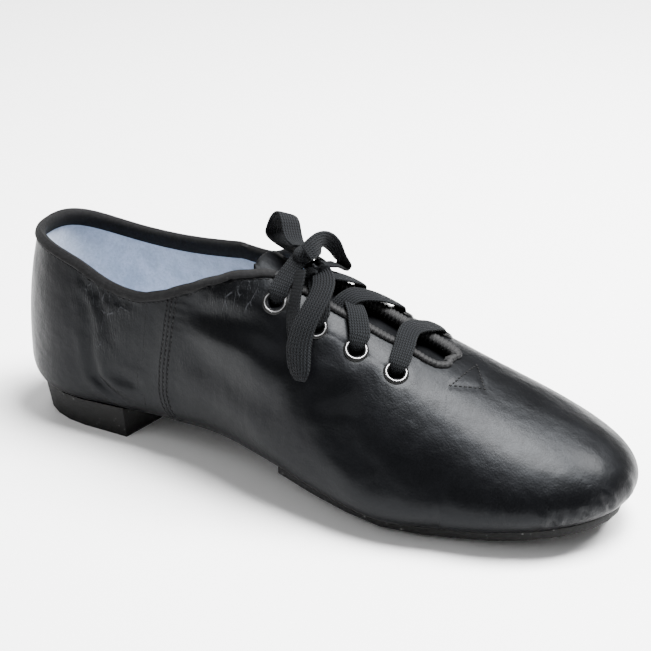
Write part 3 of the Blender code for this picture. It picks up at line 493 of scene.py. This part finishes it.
def makeBow():
    bm = bmesh.new()
    bmesh.ops.create_uvsphere(bm, u_segments=knot["segments"], v_segments=knot["rings"], radius=1)
    layer = bm.verts.layers.float_vector.new("weave")
    for vert in bm.verts:
        p = vert.co.copy()
        around = math.atan2(p.y, p.z)
        pinch = 1 - knot["pinch"] * math.cos(2 * around)
        halfX, halfY, halfZ = knot["half"]
        vert[layer] = (around * knot["weaveReach"], max(-1, min(1, p.x)), 0)
        vert.co = Vector(knot["centre"]) + Vector((p.x * halfX, p.y * halfY * pinch, p.z * halfZ * pinch))
    tied = addPiece("bowKnot", bm, [wovenLace], sharp=80)
    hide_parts("lace_knot")
    for name, rows, node in (("bowLoopBack", loopBack, "lace_loop_back"),
                             ("bowLoopFront", loopFront, "lace_loop_front"),
                             ("bowLoopHanging", loopHanging, "lace_loop_hanging")):
        piece, line, length = laceRun(name, rows, [node])


makeBow()
print("bow made")

# the leather upper
upperPlan = {"levels": 2, "settle": 3, "settleShare": 0.8, "layerAngle": 66, "liningShare": 0.6}


# 0 outside, 1 lining, 2 cut edge: each layer is flooded over its gentle edges from the toe
def paintLayers(bm):
    bm.faces.ensure_lookup_table()
    for face in bm.faces:
        face.material_index = 2
        face.tag = False

    gentle = math.radians(upperPlan["layerAngle"])

    def flood(seed, mark):
        stack = [seed]
        seed.tag = True
        while stack:
            face = stack.pop()
            face.material_index = mark
            for edge in face.edges:
                if len(edge.link_faces) != 2 or edge.calc_face_angle(math.pi) > gentle:
                    continue
                for other in edge.link_faces:
                    if not other.tag:
                        other.tag = True
                        stack.append(other)

    outside = max(bm.faces, key=lambda f: f.calc_center_median().x)
    flood(outside, 0)
    left = [f for f in bm.faces if not f.tag]
    inside = max(left, key=lambda f: f.calc_center_median().x)
    flood(inside, 1)


# subdivide a welded node so that its own corners stay where the CAD puts them
def smoothMesh(bm, levels, settle):
    control = bpy.data.meshes.new("control")
    bm.to_mesh(control)
    holder = bpy.data.objects.new("control", control)
    bpy.context.scene.collection.objects.link(holder)
    modifier = holder.modifiers.new("smooth", "SUBSURF")
    modifier.levels = levels
    modifier.render_levels = levels
    count = len(control.vertices)
    goal = np.empty(count * 3)
    control.vertices.foreach_get("co", goal)
    place = goal.copy()
    for _ in range(settle):
        control.vertices.foreach_set("co", place)
        control.update()
        holder.update_tag()
        view = holder.evaluated_get(bpy.context.evaluated_depsgraph_get())
        now = np.empty(len(view.data.vertices) * 3)
        view.data.vertices.foreach_get("co", now)
        place = place + (goal - now[:count * 3]) * upperPlan["settleShare"]
    control.vertices.foreach_set("co", place)
    control.update()
    holder.update_tag()
    view = holder.evaluated_get(bpy.context.evaluated_depsgraph_get())
    result = bpy.data.meshes.new_from_object(view)
    bpy.data.objects.remove(holder)
    fine = bmesh.new()
    fine.from_mesh(result)
    bpy.data.meshes.remove(result)
    bpy.data.meshes.remove(control)
    return fine


# distance of each point to a line of a few points, and the share of the run it is nearest to
def segmentDistance(points, line):
    best = np.full(len(points), 1e9)
    where = np.zeros(len(points))
    steps = np.linalg.norm(np.diff(line, axis=0), axis=1)
    total = steps.sum()
    start = 0.0
    for a, b, step in zip(line[:-1], line[1:], steps):
        t = np.clip(((points - a) @ (b - a)) / (step * step), 0, 1)
        d = np.linalg.norm(points - (a + t[:, None] * (b - a)), axis=1)
        closer = d < best
        best[closer] = d[closer]
        where[closer] = (start + t[closer] * step) / total
        start += step
    return best, where


# each crease: points on the leather, width of its trough, depth, share of ridge beside it
creases = {
    "heelSide": [
        ([(0.0135, -0.0285, 0.0480), (0.0155, -0.0298, 0.0373), (0.0175, -0.0300, 0.0269),
          (0.0240, -0.0298, 0.0216), (0.0330, -0.0287, 0.0178)], 0.0024, 0.00116, 0.7),
        ([(0.0270, -0.0297, 0.0305), (0.0330, -0.0300, 0.0285),
          (0.0383, -0.0299, 0.0290)], 0.0028, 0.00070, 0.5),
        ([(0.0170, -0.0272, 0.0630), (0.0192, -0.0277, 0.0582), (0.0224, -0.0286, 0.0503),
          (0.0237, -0.0293, 0.0421)], 0.0021, 0.00093, 0.7),
        ([(0.0127, -0.0279, 0.0589), (0.0154, -0.0290, 0.0488),
          (0.0166, -0.0296, 0.0397)], 0.0024, 0.00062, 0.6),
        ([(0.0240, -0.0280, 0.0560), (0.0262, -0.0290, 0.0480),
          (0.0262, -0.0296, 0.0400)], 0.0026, 0.00054, 0.6),
    ],
    "underCollar": [
        ([(0.0118, -0.0268, 0.0666), (0.0136, -0.0277, 0.0604)], 0.0016, 0.00054, 0.7),
        ([(0.0170, -0.0268, 0.0644), (0.0200, -0.0276, 0.0589)], 0.0015, 0.00062, 0.7),
        ([(0.0206, -0.0269, 0.0636), (0.0249, -0.0277, 0.0579)], 0.0015, 0.00070, 0.7),
        ([(0.0254, -0.0270, 0.0625), (0.0306, -0.0277, 0.0580)], 0.0015, 0.00070, 0.7),
        ([(0.0303, -0.0270, 0.0626), (0.0353, -0.0277, 0.0588)], 0.0015, 0.00054, 0.7),
    ],
    "underThroatCorner": [
        ([(0.0702, -0.0271, 0.0759), (0.0693, -0.0290, 0.0703)], 0.0015, 0.00070, 0.7),
        ([(0.0741, -0.0264, 0.0778), (0.0739, -0.0290, 0.0715)], 0.0015, 0.00070, 0.7),
        ([(0.0780, -0.0254, 0.0793), (0.0782, -0.0286, 0.0731)], 0.0016, 0.00078, 0.7),
        ([(0.0830, -0.0287, 0.0731), (0.0853, -0.0268, 0.0760)], 0.0018, 0.00070, 0.7),
    ],
    "sideFolds": [
        ([(0.0600, -0.0293, 0.0632), (0.0786, -0.0312, 0.0661), (0.0941, -0.0321, 0.0652),
          (0.1045, -0.0333, 0.0595)], 0.0062, 0.00132, 0.5),
        ([(0.0588, -0.0309, 0.0485), (0.0748, -0.0336, 0.0446), (0.0921, -0.0379, 0.0410),
          (0.1099, -0.0402, 0.0382)], 0.0085, 0.00108, 0.5),
        ([(0.1222, -0.0393, 0.0398), (0.1326, -0.0404, 0.0351), (0.1435, -0.0423, 0.0276),
          (0.1490, -0.0442, 0.0178)], 0.0070, 0.00072, 0.5),
        ([(0.1148, -0.0372, 0.0471), (0.1257, -0.0351, 0.0469),
          (0.1332, -0.0311, 0.0491)], 0.0060, 0.00084, 0.5),
    ],
    "toePleats": [
        ([(0.1871, -0.0316, 0.0236), (0.1894, -0.0333, 0.0135)], 0.0018, 0.00062, 0.8),
        ([(0.2020, -0.0256, 0.0208), (0.2045, -0.0239, 0.0130)], 0.0015, 0.00116, 0.8),
        ([(0.2056, -0.0237, 0.0194), (0.2046, -0.0240, 0.0132)], 0.0014, 0.00106, 0.8),
        ([(0.2082, -0.0219, 0.0183), (0.2092, -0.0205, 0.0144)], 0.0014, 0.00097, 0.8),
        ([(0.2127, -0.0174, 0.0190), (0.2143, -0.0152, 0.0154)], 0.0014, 0.00097, 0.8),
        ([(0.2169, -0.0101, 0.0219), (0.2193, -0.0069, 0.0158)], 0.0016, 0.00097, 0.8),
        ([(0.2195, 0.0040, 0.0210), (0.2200, 0.0050, 0.0150)], 0.0016, 0.00077, 0.8),
        ([(0.2120, 0.0220, 0.0200), (0.2130, 0.0210, 0.0140)], 0.0016, 0.00088, 0.8),
        ([(0.2010, 0.0310, 0.0205), (0.2020, 0.0300, 0.0140)], 0.0016, 0.00088, 0.8),
    ],
    "innerSide": [
        ([(0.0600, 0.0245, 0.0610), (0.0780, 0.0250, 0.0600),
          (0.0960, 0.0270, 0.0560)], 0.0060, 0.00096, 0.5),
        ([(0.1150, 0.0330, 0.0450), (0.1280, 0.0330, 0.0440),
          (0.1400, 0.0330, 0.0400)], 0.0060, 0.00072, 0.5),
        ([(0.0160, 0.0280, 0.0560), (0.0200, 0.0290, 0.0460),
          (0.0240, 0.0290, 0.0360)], 0.0028, 0.00070, 0.6),
    ],
}
creaseShape = {"fadeRate": 5, "fadeStart": 0.12, "trough": 1.6, "ridgeAt": 1.45, "ridgeSharp": 2.2,
               "ridgeShare": 0.8, "reach": 4}
seamLines = {
    "outer": [(0.0540, -0.0270, 0.0709), (0.0533, -0.0283, 0.0651), (0.0518, -0.0301, 0.0514),
              (0.0500, -0.0306, 0.0381), (0.0493, -0.0304, 0.0283), (0.0508, -0.0302, 0.0220),
              (0.0520, -0.0295, 0.0193), (0.0534, -0.0278, 0.0166)],
    "inner": [(0.0540, 0.0196, 0.0718), (0.0533, 0.0218, 0.0651), (0.0518, 0.0251, 0.0514),
              (0.0500, 0.0271, 0.0381), (0.0493, 0.0279, 0.0283), (0.0508, 0.0279, 0.0220),
              (0.0520, 0.0271, 0.0193), (0.0534, 0.0253, 0.0166)],
}
# places of fine wrinkles: centre, reach, strength
wrinkled = [
    ((0.0230, -0.0275, 0.0600), 0.016, 0.9), ((0.0220, -0.0290, 0.0450), 0.011, 0.8),
    ((0.0750, -0.0280, 0.0740), 0.012, 0.8), ((0.0840, -0.0280, 0.0745), 0.008, 1.0),
    ((0.2040, -0.0240, 0.0160), 0.013, 0.40), ((0.2150, -0.0120, 0.0180), 0.012, 0.40),
    ((0.1890, -0.0330, 0.0180), 0.012, 0.4), ((0.0590, -0.0300, 0.0450), 0.008, 0.3),
]
# the stitched patch ahead of the throat
triangle = [(0.1580, -0.0098, 0.0496), (0.1597, 0.0081, 0.0503), (0.1673, -0.0015, 0.0470)]
patch = {"groove": 0.00038, "width": 0.0008}


def makeUpper():
    bm = nodeCopy("upper")
    paintLayers(bm)
    counts = [sum(f.material_index == k for f in bm.faces) for k in range(3)]
    print("upper faces: outside, lining, edge", counts)
    fine = smoothMesh(bm, upperPlan["levels"], upperPlan["settle"])
    bm.free()
    fine.normal_update()
    points = np.array([v.co for v in fine.verts])
    normals = np.array([v.normal for v in fine.verts])
    lining = np.array([all(f.material_index == 1 for f in v.link_faces) for v in fine.verts])
    out = np.where(lining[:, None], -normals, normals)
    move = np.zeros(len(points))
    form = creaseShape
    for line, width, depth, ridge in sum(creases.values(), []):
        d, t = segmentDistance(points, np.array(line))
        fade = np.clip(np.minimum(t, 1 - t) * form["fadeRate"] + form["fadeStart"], 0, 1)
        r = d / width
        beside = ridge * form["ridgeShare"] * np.exp(-((r - form["ridgeAt"]) ** 2) * form["ridgeSharp"])
        shape = beside - np.exp(-r ** 2 * form["trough"])
        move += shape * depth * fade * (r < form["reach"])
    mask = np.zeros(len(points))
    across = np.full(len(points), seam["far"])
    for centre, reach, strength in wrinkled:
        d = np.linalg.norm(points - np.array(centre), axis=1) / reach
        mask = np.maximum(mask, strength * np.clip(1.25 - d, 0, 1) ** 1.2)
    for line in seamLines.values():
        line = np.array(line)
        d, t = segmentDistance(points, line)
        side = points[:, 0] - np.interp(points[:, 2], line[::-1, 2], line[::-1, 0])
        inside = np.clip(1.6 - d / (seam["width"] / 2), 0, 1)
        across = np.where(d < seam["reach"], side, across)
        move += seam["rise"] * inside ** 0.7
        wave = np.sin(points[:, 2] / seam["puckerPitch"] * 2 * math.pi)
        wave *= np.clip(1 - d / seam["puckerReach"], 0, 1)
        move += seam["pucker"] * wave * (d > seam["width"] * 0.4) * (side > 0)
    d, _t = segmentDistance(points, np.array(triangle + triangle[:1]))
    move -= patch["groove"] * np.exp(-(d / patch["width"]) ** 2)
    limit = np.where(lining, upperPlan["liningShare"], 1.0)
    points = points + out * (move * limit)[:, None]
    layer = fine.verts.layers.float.new("wrinkle")
    rowLayer = fine.verts.layers.float.new("seam")
    for vert, p, m, a in zip(fine.verts, points, mask, across):
        vert.co = p
        vert[layer] = m
        vert[rowLayer] = a
    finishes = [blackLeather, paleLining, blackLeather]
    piece = addPiece("leatherUpper", fine, finishes, sharp=70)
    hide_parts("upper")
    return piece


upper = makeUpper()
print("upper made")


# the fine upper's outside or lining alone, to lay other pieces on
def surfaceTree(layer):
    bm = bmesh.new()
    bm.from_mesh(upper.data)
    bmesh.ops.delete(bm, geom=[f for f in bm.faces if f.material_index != layer], context="FACES")
    tree = BVHTree.FromBMesh(bm)
    bm.free()
    return tree


outsideTree = surfaceTree(0)
liningTree = surfaceTree(1)


# the long loop of the collar and the throat: points, outward directions, ways into the leather
def rimLoop():
    bm = bmesh.new()
    bm.from_mesh(upper.data)
    edges = [e for e in bm.edges if {f.material_index for f in e.link_faces} == {0, 2}]
    links = {}
    for edge in edges:
        a, b = edge.verts
        links.setdefault(a, []).append(b)
        links.setdefault(b, []).append(a)
    loops = []
    seen = set()
    for start in links:
        if start in seen:
            continue
        chain = []
        now = start
        before = None
        while now not in seen:
            seen.add(now)
            chain.append(now)
            steps = [v for v in links[now] if v is not before and v not in seen]
            if not steps:
                break
            before, now = now, steps[0]
        loops.append(chain)
    longest = max(loops, key=len)
    points = []
    normals = []
    ways = []
    for vert in longest:
        faces = [f for f in vert.link_faces if f.material_index == 0]
        normal = sum((f.normal for f in faces), Vector()).normalized()
        middle = sum((f.calc_center_median() for f in faces), Vector()) / len(faces)
        points.append(vert.co[:])
        normals.append(normal[:])
        ways.append((middle - vert.co)[:])
    print("rim loops:", [len(c) for c in loops])
    result = np.array(points), np.array(normals), np.array(ways)
    bm.free()
    return result


rim = rimLoop()
corners = {"outer": (0.0918, -0.0178, 0.0813), "inner": (0.0918, -0.0003, 0.0813)}
band = {"thickness": 0.0007, "gap": 0.0003, "wall": 0.0016, "step": 0.0011, "ease": 0.003,
        "collarOut": 0.0023, "collarIn": 0.0052, "throatOut": 0.0021, "throatIn": 0.0018,
        "ribPitch": 0.00155, "ribDepth": 0.00042, "ribSlant": 0.45, "fold": 0.002, "hem": 0.55, "bulge": 0.35,
        "legShares": (1.0, 0.72, 0.4, 0.12), "underside": 0.4}


# a few rounds of averaging along an open line
def ease(rows, reach):
    rows = rows.copy()
    for _ in range(reach):
        rows[1:-1] = (rows[:-2] + 2 * rows[1:-1] + rows[2:]) / 4
    return rows


def bandAlong(name, points, normals, ways, out, inside, ribbed, finish, node):
    step = band["ribPitch"] / 6 if ribbed else band["step"]
    run = np.concatenate([[0], np.cumsum(np.linalg.norm(np.diff(points, axis=0), axis=1))])
    at = np.linspace(0.0002, run[-1] - 0.0002, int(run[-1] / step))
    wide = max(int(band["ease"] / step), 1)

    def pick(rows):
        return np.stack([np.interp(at, run, rows[:, k]) for k in range(3)], axis=1)

    points, normals, ways = pick(points), unit(pick(normals)), unit(pick(ways))
    points = ease(points, wide)
    normals = unit(ease(normals, wide * 3))
    ways = unit(ease(ways, wide * 3))
    tangent = unit(np.gradient(points, axis=0))
    flat = np.cross(tangent, normals)
    ways = unit(flat * np.sign((flat * ways).sum(1, keepdims=True)))
    wall = band["wall"]
    cover = band["gap"] + band["thickness"]
    rings = []
    weave = []
    for k, (p, n, w) in enumerate(zip(points, normals, ways)):
        p, n, w = Vector(p), Vector(n), Vector(w)
        ring = []
        marks = []

        def rib(across):
            if not ribbed:
                return 0.0
            phase = (at[k] + across * band["ribSlant"]) / band["ribPitch"]
            return band["ribDepth"] * (0.5 + 0.5 * math.cos(2 * math.pi * phase)) ** 0.7

        def leg(tree, reach, lift, inward, extra=0.0):
            spot = p + w * reach - n * (wall if inward else 0)
            hit, normal, _index, _d = tree.find_nearest(spot)
            if hit is None:
                hit, normal = spot, (-n if inward else n)
            ring.append(hit + normal * (lift + extra))
            marks.append(Vector((at[k], (-reach if inward else reach), 0)))

        for share in band["legShares"]:
            edge = band["hem"] if share == 1.0 else 1.0
            leg(outsideTree, out * share, cover * edge, False, rib(out * share) * edge)
        for share in (0.25, 0.75):
            bulge = band["bulge"] * math.sin(math.pi * share)
            proud = cover + bulge * wall + rib(-band["fold"] * share)
            ring.append(p + n * cover * (1 - share) - n * (wall + cover) * share - w * proud)
            marks.append(Vector((at[k], -0.001 * share, 0)))
        for share in band["legShares"][::-1]:
            edge = band["hem"] if share == 1.0 else 1.0
            ribHere = rib(-band["fold"] - inside * share) * edge
            leg(liningTree, inside * share, cover * edge, True, ribHere)
        under = band["gap"] * band["underside"]
        inner = band["legShares"][-1]
        leg(liningTree, inside, under, True)
        leg(liningTree, inside * inner, under, True)
        ring.append(p - n * (wall / 2) - w * band["gap"] * 0.5)
        marks.append(Vector((at[k], 0, 0)))
        leg(outsideTree, out * inner, under, False)
        leg(outsideTree, out, under, False)
        rings.append(ring)
        weave.append(marks)
    piece = addPiece(name, sweep(rings, weave), [finish], sharp=60)
    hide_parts(node)
    return points, normals, ways


def makeBands():
    points, normals, ways = rim
    nearest = {word: int(np.argmin(np.linalg.norm(points - np.array(spot), axis=1)))
               for word, spot in corners.items()}
    count = len(points)
    a, b = nearest["outer"], nearest["inner"]
    firstWay = [(a + k) % count for k in range((b - a) % count + 1)]
    otherWay = [(b + k) % count for k in range((a - b) % count + 1)]
    back = min(firstWay, key=lambda k: points[k][0])
    collar, throat = (firstWay, otherWay) if points[back][0] < 0 else (otherWay, firstWay)
    edge = bandAlong("collarBinding", points[collar], normals[collar], ways[collar], band["collarOut"],
                     band["collarIn"], False, collarCloth, "collar_binding")
    bandAlong("throatBinding", points[throat], normals[throat], ways[throat], band["throatOut"],
              band["throatIn"], True, ribbedTape, "throat_binding")
    return edge


collarEdge = makeBands()
print("bindings made")

# stitches
# each row's pitch, a stitch's length and radius, how far its middle stands off the leather
threads = {"triangle": (0.00165, 0.0013, 0.00034, -0.00002), "seam": (0.0019, 0.0013, 0.00024, -0.00004),
           "collar": (0.0023, 0.0015, 0.00018, 0.00004)}
collarRowGap = 0.0006  # from the collar band's hem to its row


# small thread capsules, half sunk, along a line laid on the leather
def stitchRow(bm, line, pitch, length, radius, lift):
    line = smoothLine(line, pitch)
    tangents = unit(np.gradient(line, axis=0))
    for point, tangent in zip(line, tangents):
        hit, normal, _i, _d = outsideTree.find_nearest(Vector(point))
        if hit is None:
            continue
        run = Vector(tangent) - normal * normal.dot(Vector(tangent))
        turn = Matrix((run.normalized(), normal.cross(run.normalized()), normal)).transposed().to_4x4()
        size = Matrix.Diagonal((length / 2, radius, radius, 1))
        bmesh.ops.create_uvsphere(bm, u_segments=8, v_segments=6, radius=1,
                                  matrix=Matrix.Translation(hit + normal * lift) @ turn @ size)


def makeStitches():
    bm = bmesh.new()
    for k in range(3):
        stitchRow(bm, [triangle[k], triangle[(k + 1) % 3]], *threads["triangle"])
    for line in seamLines.values():
        for offset in (-seam["rowGap"], 0.0, seam["rowGap"]):
            stitchRow(bm, [(x + offset, y, z) for x, y, z in line], *threads["seam"])
    points, _normals, ways = collarEdge
    line = points[::6] + ways[::6] * (band["collarOut"] + collarRowGap)
    stitchRow(bm, line, *threads["collar"])
    addPiece("stitches", bm, [blackThread], sharp=80)


makeStitches()
print("stitches made")

# eyelets
eyelet = {"bore": 0.0029, "flange": 0.0046, "ring": 0.0037, "steps": 40, "wornFrom": 0.00345,
          "wornTo": 0.0040, "wornAbove": 0.0004}
eyeletPlaces = {
    "outer_1": ((0.0959, -0.0258, 0.0738), (0.289, -0.684, 0.669)),
    "inner_1": ((0.0959, 0.0082, 0.0743), (0.257, 0.619, 0.742)),
    "outer_2": ((0.1111, -0.0238, 0.0670), (0.437, -0.549, 0.713)),
    "inner_2": ((0.1111, 0.0112, 0.0674), (0.227, 0.558, 0.798)),
    "outer_3": ((0.1261, -0.0211, 0.0604), (0.396, -0.472, 0.788)),
    "inner_3": ((0.1261, 0.0147, 0.0607), (0.249, 0.492, 0.834)),
    "outer_4": ((0.1410, -0.0191, 0.0543), (0.393, -0.402, 0.827)),
    "inner_4": ((0.1409, 0.0176, 0.0547), (0.273, 0.425, 0.863)),
}


def makeEyelet(word, centre, normal):
    bore, flange, ringAt = eyelet["bore"], eyelet["flange"], eyelet["ring"]
    # the roll, the flange's face and back, the barrel and the turned end under the leather
    profile = [(bore, 0.00025), (bore + 0.00012, 0.00055), (bore + 0.0004, 0.00072),
               (ringAt - 0.0002, 0.00085), (ringAt, 0.00088), (ringAt + 0.0002, 0.00080),
               (flange - 0.0004, 0.00052), (flange - 0.0001, 0.0004), (flange, 0.00015),
               (flange - 0.0002, 0.00002), (bore + 0.0004, 0.00002), (bore + 0.0004, -0.0019),
               (flange - 0.0008, -0.0021), (flange - 0.0009, -0.0024), (bore + 0.0002, -0.0024),
               (bore, -0.0021)]
    bm = bmesh.new()
    verts = [bm.verts.new((x, 0, z)) for x, z in profile]
    edges = [bm.edges.new((verts[k], verts[(k + 1) % len(verts)])) for k in range(len(verts))]
    bmesh.ops.spin(bm, geom=verts + edges, cent=(0, 0, 0), axis=(0, 0, 1), angle=2 * math.pi,
                   steps=eyelet["steps"], use_merge=True)
    bmesh.ops.remove_doubles(bm, verts=bm.verts, dist=0.000005)
    bmesh.ops.recalc_face_normals(bm, faces=bm.faces)
    for face in bm.faces:
        middle = face.calc_center_median()
        reach = math.hypot(middle.x, middle.y)
        bright = eyelet["wornFrom"] < reach < eyelet["wornTo"] and middle.z > eyelet["wornAbove"]
        face.material_index = 1 if bright else 0
    turn = Vector(normal).to_track_quat("Z", "Y").to_matrix().to_4x4()
    bmesh.ops.transform(bm, matrix=Matrix.Translation(Vector(centre)) @ turn, verts=bm.verts)
    piece = addPiece("eyelet_" + word, bm, [blackEnamel, wornRing], sharp=50)
    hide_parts("eyelet_" + word)


for word, (centre, normal) in eyeletPlaces.items():
    makeEyelet(word, centre, normal)
print("eyelets made")


# lace runs through the eyelets
# rise over the eyelet and reach ahead, flat face's direction by both, share of width, cup
throughEyelet = [
    (-0.0032, 0.0004, 0.0, -1.0, 0.62, 0.0006),
    (-0.0004, 0.0006, 0.1, -1.0, 0.64, 0.0007),
    (0.0012, 0.0016, 0.6, -0.8, 0.74, 0.0006),
    (0.0020, 0.0036, 1.0, -0.2, 0.93, 0.0003),
]
barMiddle = [
    ((0.1400, -0.0116, 0.0601), (0.3, -0.35, 0.88), 1.0, 0.0),
    ((0.1376, -0.0010, 0.0632), (0.35, 0.0, 0.93), 1.0, 0.0),
    ((0.1398, 0.0099, 0.0605), (0.3, 0.35, 0.88), 1.0, 0.0),
]
# each run after its eyelet: place and direction out of its flat face; the last points dive
# under the far flap
crossings = {
    "outer_2": [
        ((0.1111, -0.0205, 0.0724), (0.4, -0.45, 0.8)), ((0.1078, -0.0152, 0.0765), (0.35, -0.2, 0.9)),
        ((0.1042, -0.0101, 0.0787), (0.3, 0, 0.95)), ((0.1021, -0.0061, 0.0782), (0.3, 0.1, 0.95)),
        ((0.1002, -0.0022, 0.0765), (0.4, 0.4, 0.82)), ((0.0986, 0.0020, 0.0748), (0.4, 0.4, 0.82)),
    ],
    "inner_2": [
        ((0.1107, 0.0072, 0.0728), (0.25, 0.45, 0.85)), ((0.1076, 0.0003, 0.0766), (0.3, 0.3, 0.9)),
        ((0.1041, -0.0062, 0.0795), (0.3, 0.05, 0.95)), ((0.1021, -0.0107, 0.0800), (0.3, -0.1, 0.95)),
        ((0.1004, -0.0148, 0.0770), (0.35, -0.5, 0.8)), ((0.0992, -0.0188, 0.0744), (0.35, -0.55, 0.78)),
    ],
    "outer_3": [
        ((0.1255, -0.0173, 0.0657), (0.4, -0.4, 0.82)), ((0.1215, -0.0118, 0.0695), (0.4, -0.15, 0.9)),
        ((0.1173, -0.0068, 0.0708), (0.4, 0, 0.92)), ((0.1152, -0.0031, 0.0700), (0.4, 0.1, 0.92)),
        ((0.1133, 0.0008, 0.0692), (0.4, 0.3, 0.85)), ((0.1116, 0.0048, 0.0676), (0.4, 0.35, 0.84)),
    ],
    "inner_3": [
        ((0.1252, 0.0105, 0.0660), (0.25, 0.4, 0.88)), ((0.1213, 0.0036, 0.0704), (0.35, 0.25, 0.9)),
        ((0.1172, -0.0031, 0.0728), (0.4, 0, 0.92)), ((0.1153, -0.0076, 0.0724), (0.4, -0.1, 0.92)),
        ((0.1137, -0.0118, 0.0698), (0.4, -0.45, 0.8)), ((0.1122, -0.0160, 0.0676), (0.4, -0.5, 0.77)),
    ],
}
straps = {
    "outer_1": [
        ((0.0965, -0.0226, 0.0796), (0.15, -0.6, 0.8)), ((0.0969, -0.0190, 0.0822), (0.1, -0.55, 0.85)),
        ((0.0978, -0.0152, 0.0848), (0.1, -0.5, 0.85)), ((0.0986, -0.0118, 0.0868), (0.1, -0.5, 0.85)),
    ],
    "inner_1": [
        ((0.0964, 0.0044, 0.0799), (0.15, 0.6, 0.8)), ((0.0968, 0.0006, 0.0822), (0.1, 0.5, 0.85)),
        ((0.0976, -0.0022, 0.0838), (0.1, 0.5, 0.85)), ((0.0984, -0.0066, 0.0858), (0.1, 0.5, 0.85)),
    ],
}
strapForm = (0.95, 0.0002)  # share of width, cup


# the lace comes up out of the hole, pinched and cupped, and turns over the flange
def outOfEyelet(word, toward):
    centre, normal = (Vector(v) for v in eyeletPlaces[word])
    way = Vector(toward) - centre
    way = (way - normal * way.dot(normal)).normalized()
    rows = []
    for lift, ahead, upN, upW, width, cup in throughEyelet:
        spot = centre + normal * lift + way * ahead
        up = normal * upN + way * upW
        rows.append((tuple(spot), tuple(up), width, cup))
    return rows


def makeLaces():
    bar = outOfEyelet("outer_4", barMiddle[0][0]) + barMiddle + outOfEyelet("inner_4", barMiddle[2][0])[::-1]
    laceRun("laceBar", bar, ["lace_bar"], faced=True)
    for word, rows in crossings.items():
        side, pair = word.split("_")
        rest = [(p, u, 1.0, 0.0) for p, u in rows]
        node = [f"lace_crossing_{int(pair) - 1}"] if side == "outer" else []
        laceRun(f"laceRun_{word}", outOfEyelet(word, rows[0][0]) + rest, node, faced=True)
    for word, rows in straps.items():
        side = word.split("_")[0]
        rest = [(p, u, *strapForm) for p, u in rows]
        laceRun(f"laceStrap_{side}", outOfEyelet(word, rows[0][0]) + rest, [f"lace_strap_{side}"], faced=True)


makeLaces()
print("laces made")


# tongue, insole, soles
def carried(node, name, finishes, levels):
    bm = nodeCopy(node)
    fine = smoothMesh(bm, levels, upperPlan["settle"])
    bm.free()
    piece = addPiece(name, fine, finishes, sharp=50)
    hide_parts(node)


blocks = {"hardAngle": 38, "heelRound": 0.0006, "padRound": 0.0005}


# a welded copy whose hard edges get a small round
def edgedBlock(node, name, finish, radius):
    bm = nodeCopy(node)
    limit = math.radians(blocks["hardAngle"])
    hard = [e for e in bm.edges if len(e.link_faces) == 2 and e.calc_face_angle(0) > limit]
    bmesh.ops.bevel(bm, geom=hard, offset=radius, segments=2, profile=0.5, affect="EDGES", material=-1,
                    clamp_overlap=True)
    piece = addPiece(name, bm, [finish], sharp=40)
    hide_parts(node)


carried("tongue", "leatherTongue", [tongueLeather], 2)
carried("insole", "feltInsole", [paleLining], 1)
edgedBlock("heel", "heelBlock", heelRubber, blocks["heelRound"])
edgedBlock("forefoot_sole", "forefootPad", heelRubber, blocks["padRound"])
print("tongue, insole and soles made")

# floor and light
studio = {"floor": (0.96, 0.96, 0.96), "floorShade": (0.95, 0.95, 0.95), "size": 4.0, "world": 0.38,
          "aim": (0.1, 0, 0.03),
          "lights": [("overhead", (0.30, 0.18, 1.05), (0.58, 0.46), 66.0),
                     ("toeBox", (0.66, 0.52, 0.92), (0.36, 0.36), 26.0),
                     ("floorWash", (-0.9, 1.1, 1.3), (1.2, 1.2), 18.0),
                     ("frontFill", (-0.5, -1.3, 1.5), (1.4, 1.0), 10.0)]}


def makeStudio():
    bm = bmesh.new()
    bmesh.ops.create_grid(bm, x_segments=1, y_segments=1, size=studio["size"])
    mesh = bpy.data.meshes.new("floor")
    bm.to_mesh(mesh)
    bm.free()
    floor = bpy.data.objects.new("floor", mesh)
    n = Nodes("floorPaper")
    paper = n.blend(n.noise(0.05, 2.0), studio["floor"], studio["floorShade"])
    mesh.materials.append(n.build({"Base Color": paper, "Roughness": 0.9}))
    bpy.context.scene.collection.objects.link(floor)
    world = bpy.data.worlds.new("studio")
    world.use_nodes = True
    world.node_tree.nodes["Background"].inputs["Color"].default_value = (1, 1, 1, 1)
    world.node_tree.nodes["Background"].inputs["Strength"].default_value = studio["world"]
    bpy.context.scene.world = world
    for name, place, size, power in studio["lights"]:
        data = bpy.data.lights.new(name, "AREA")
        data.shape = "RECTANGLE"
        data.size, data.size_y = size
        data.energy = power
        light = bpy.data.objects.new(name, data)
        light.location = place
        light.rotation_euler = (Vector(place) - Vector(studio["aim"])).to_track_quat("Z", "Y").to_euler()
        bpy.context.scene.collection.objects.link(light)


makeStudio()
bpy.context.view_layer.update()
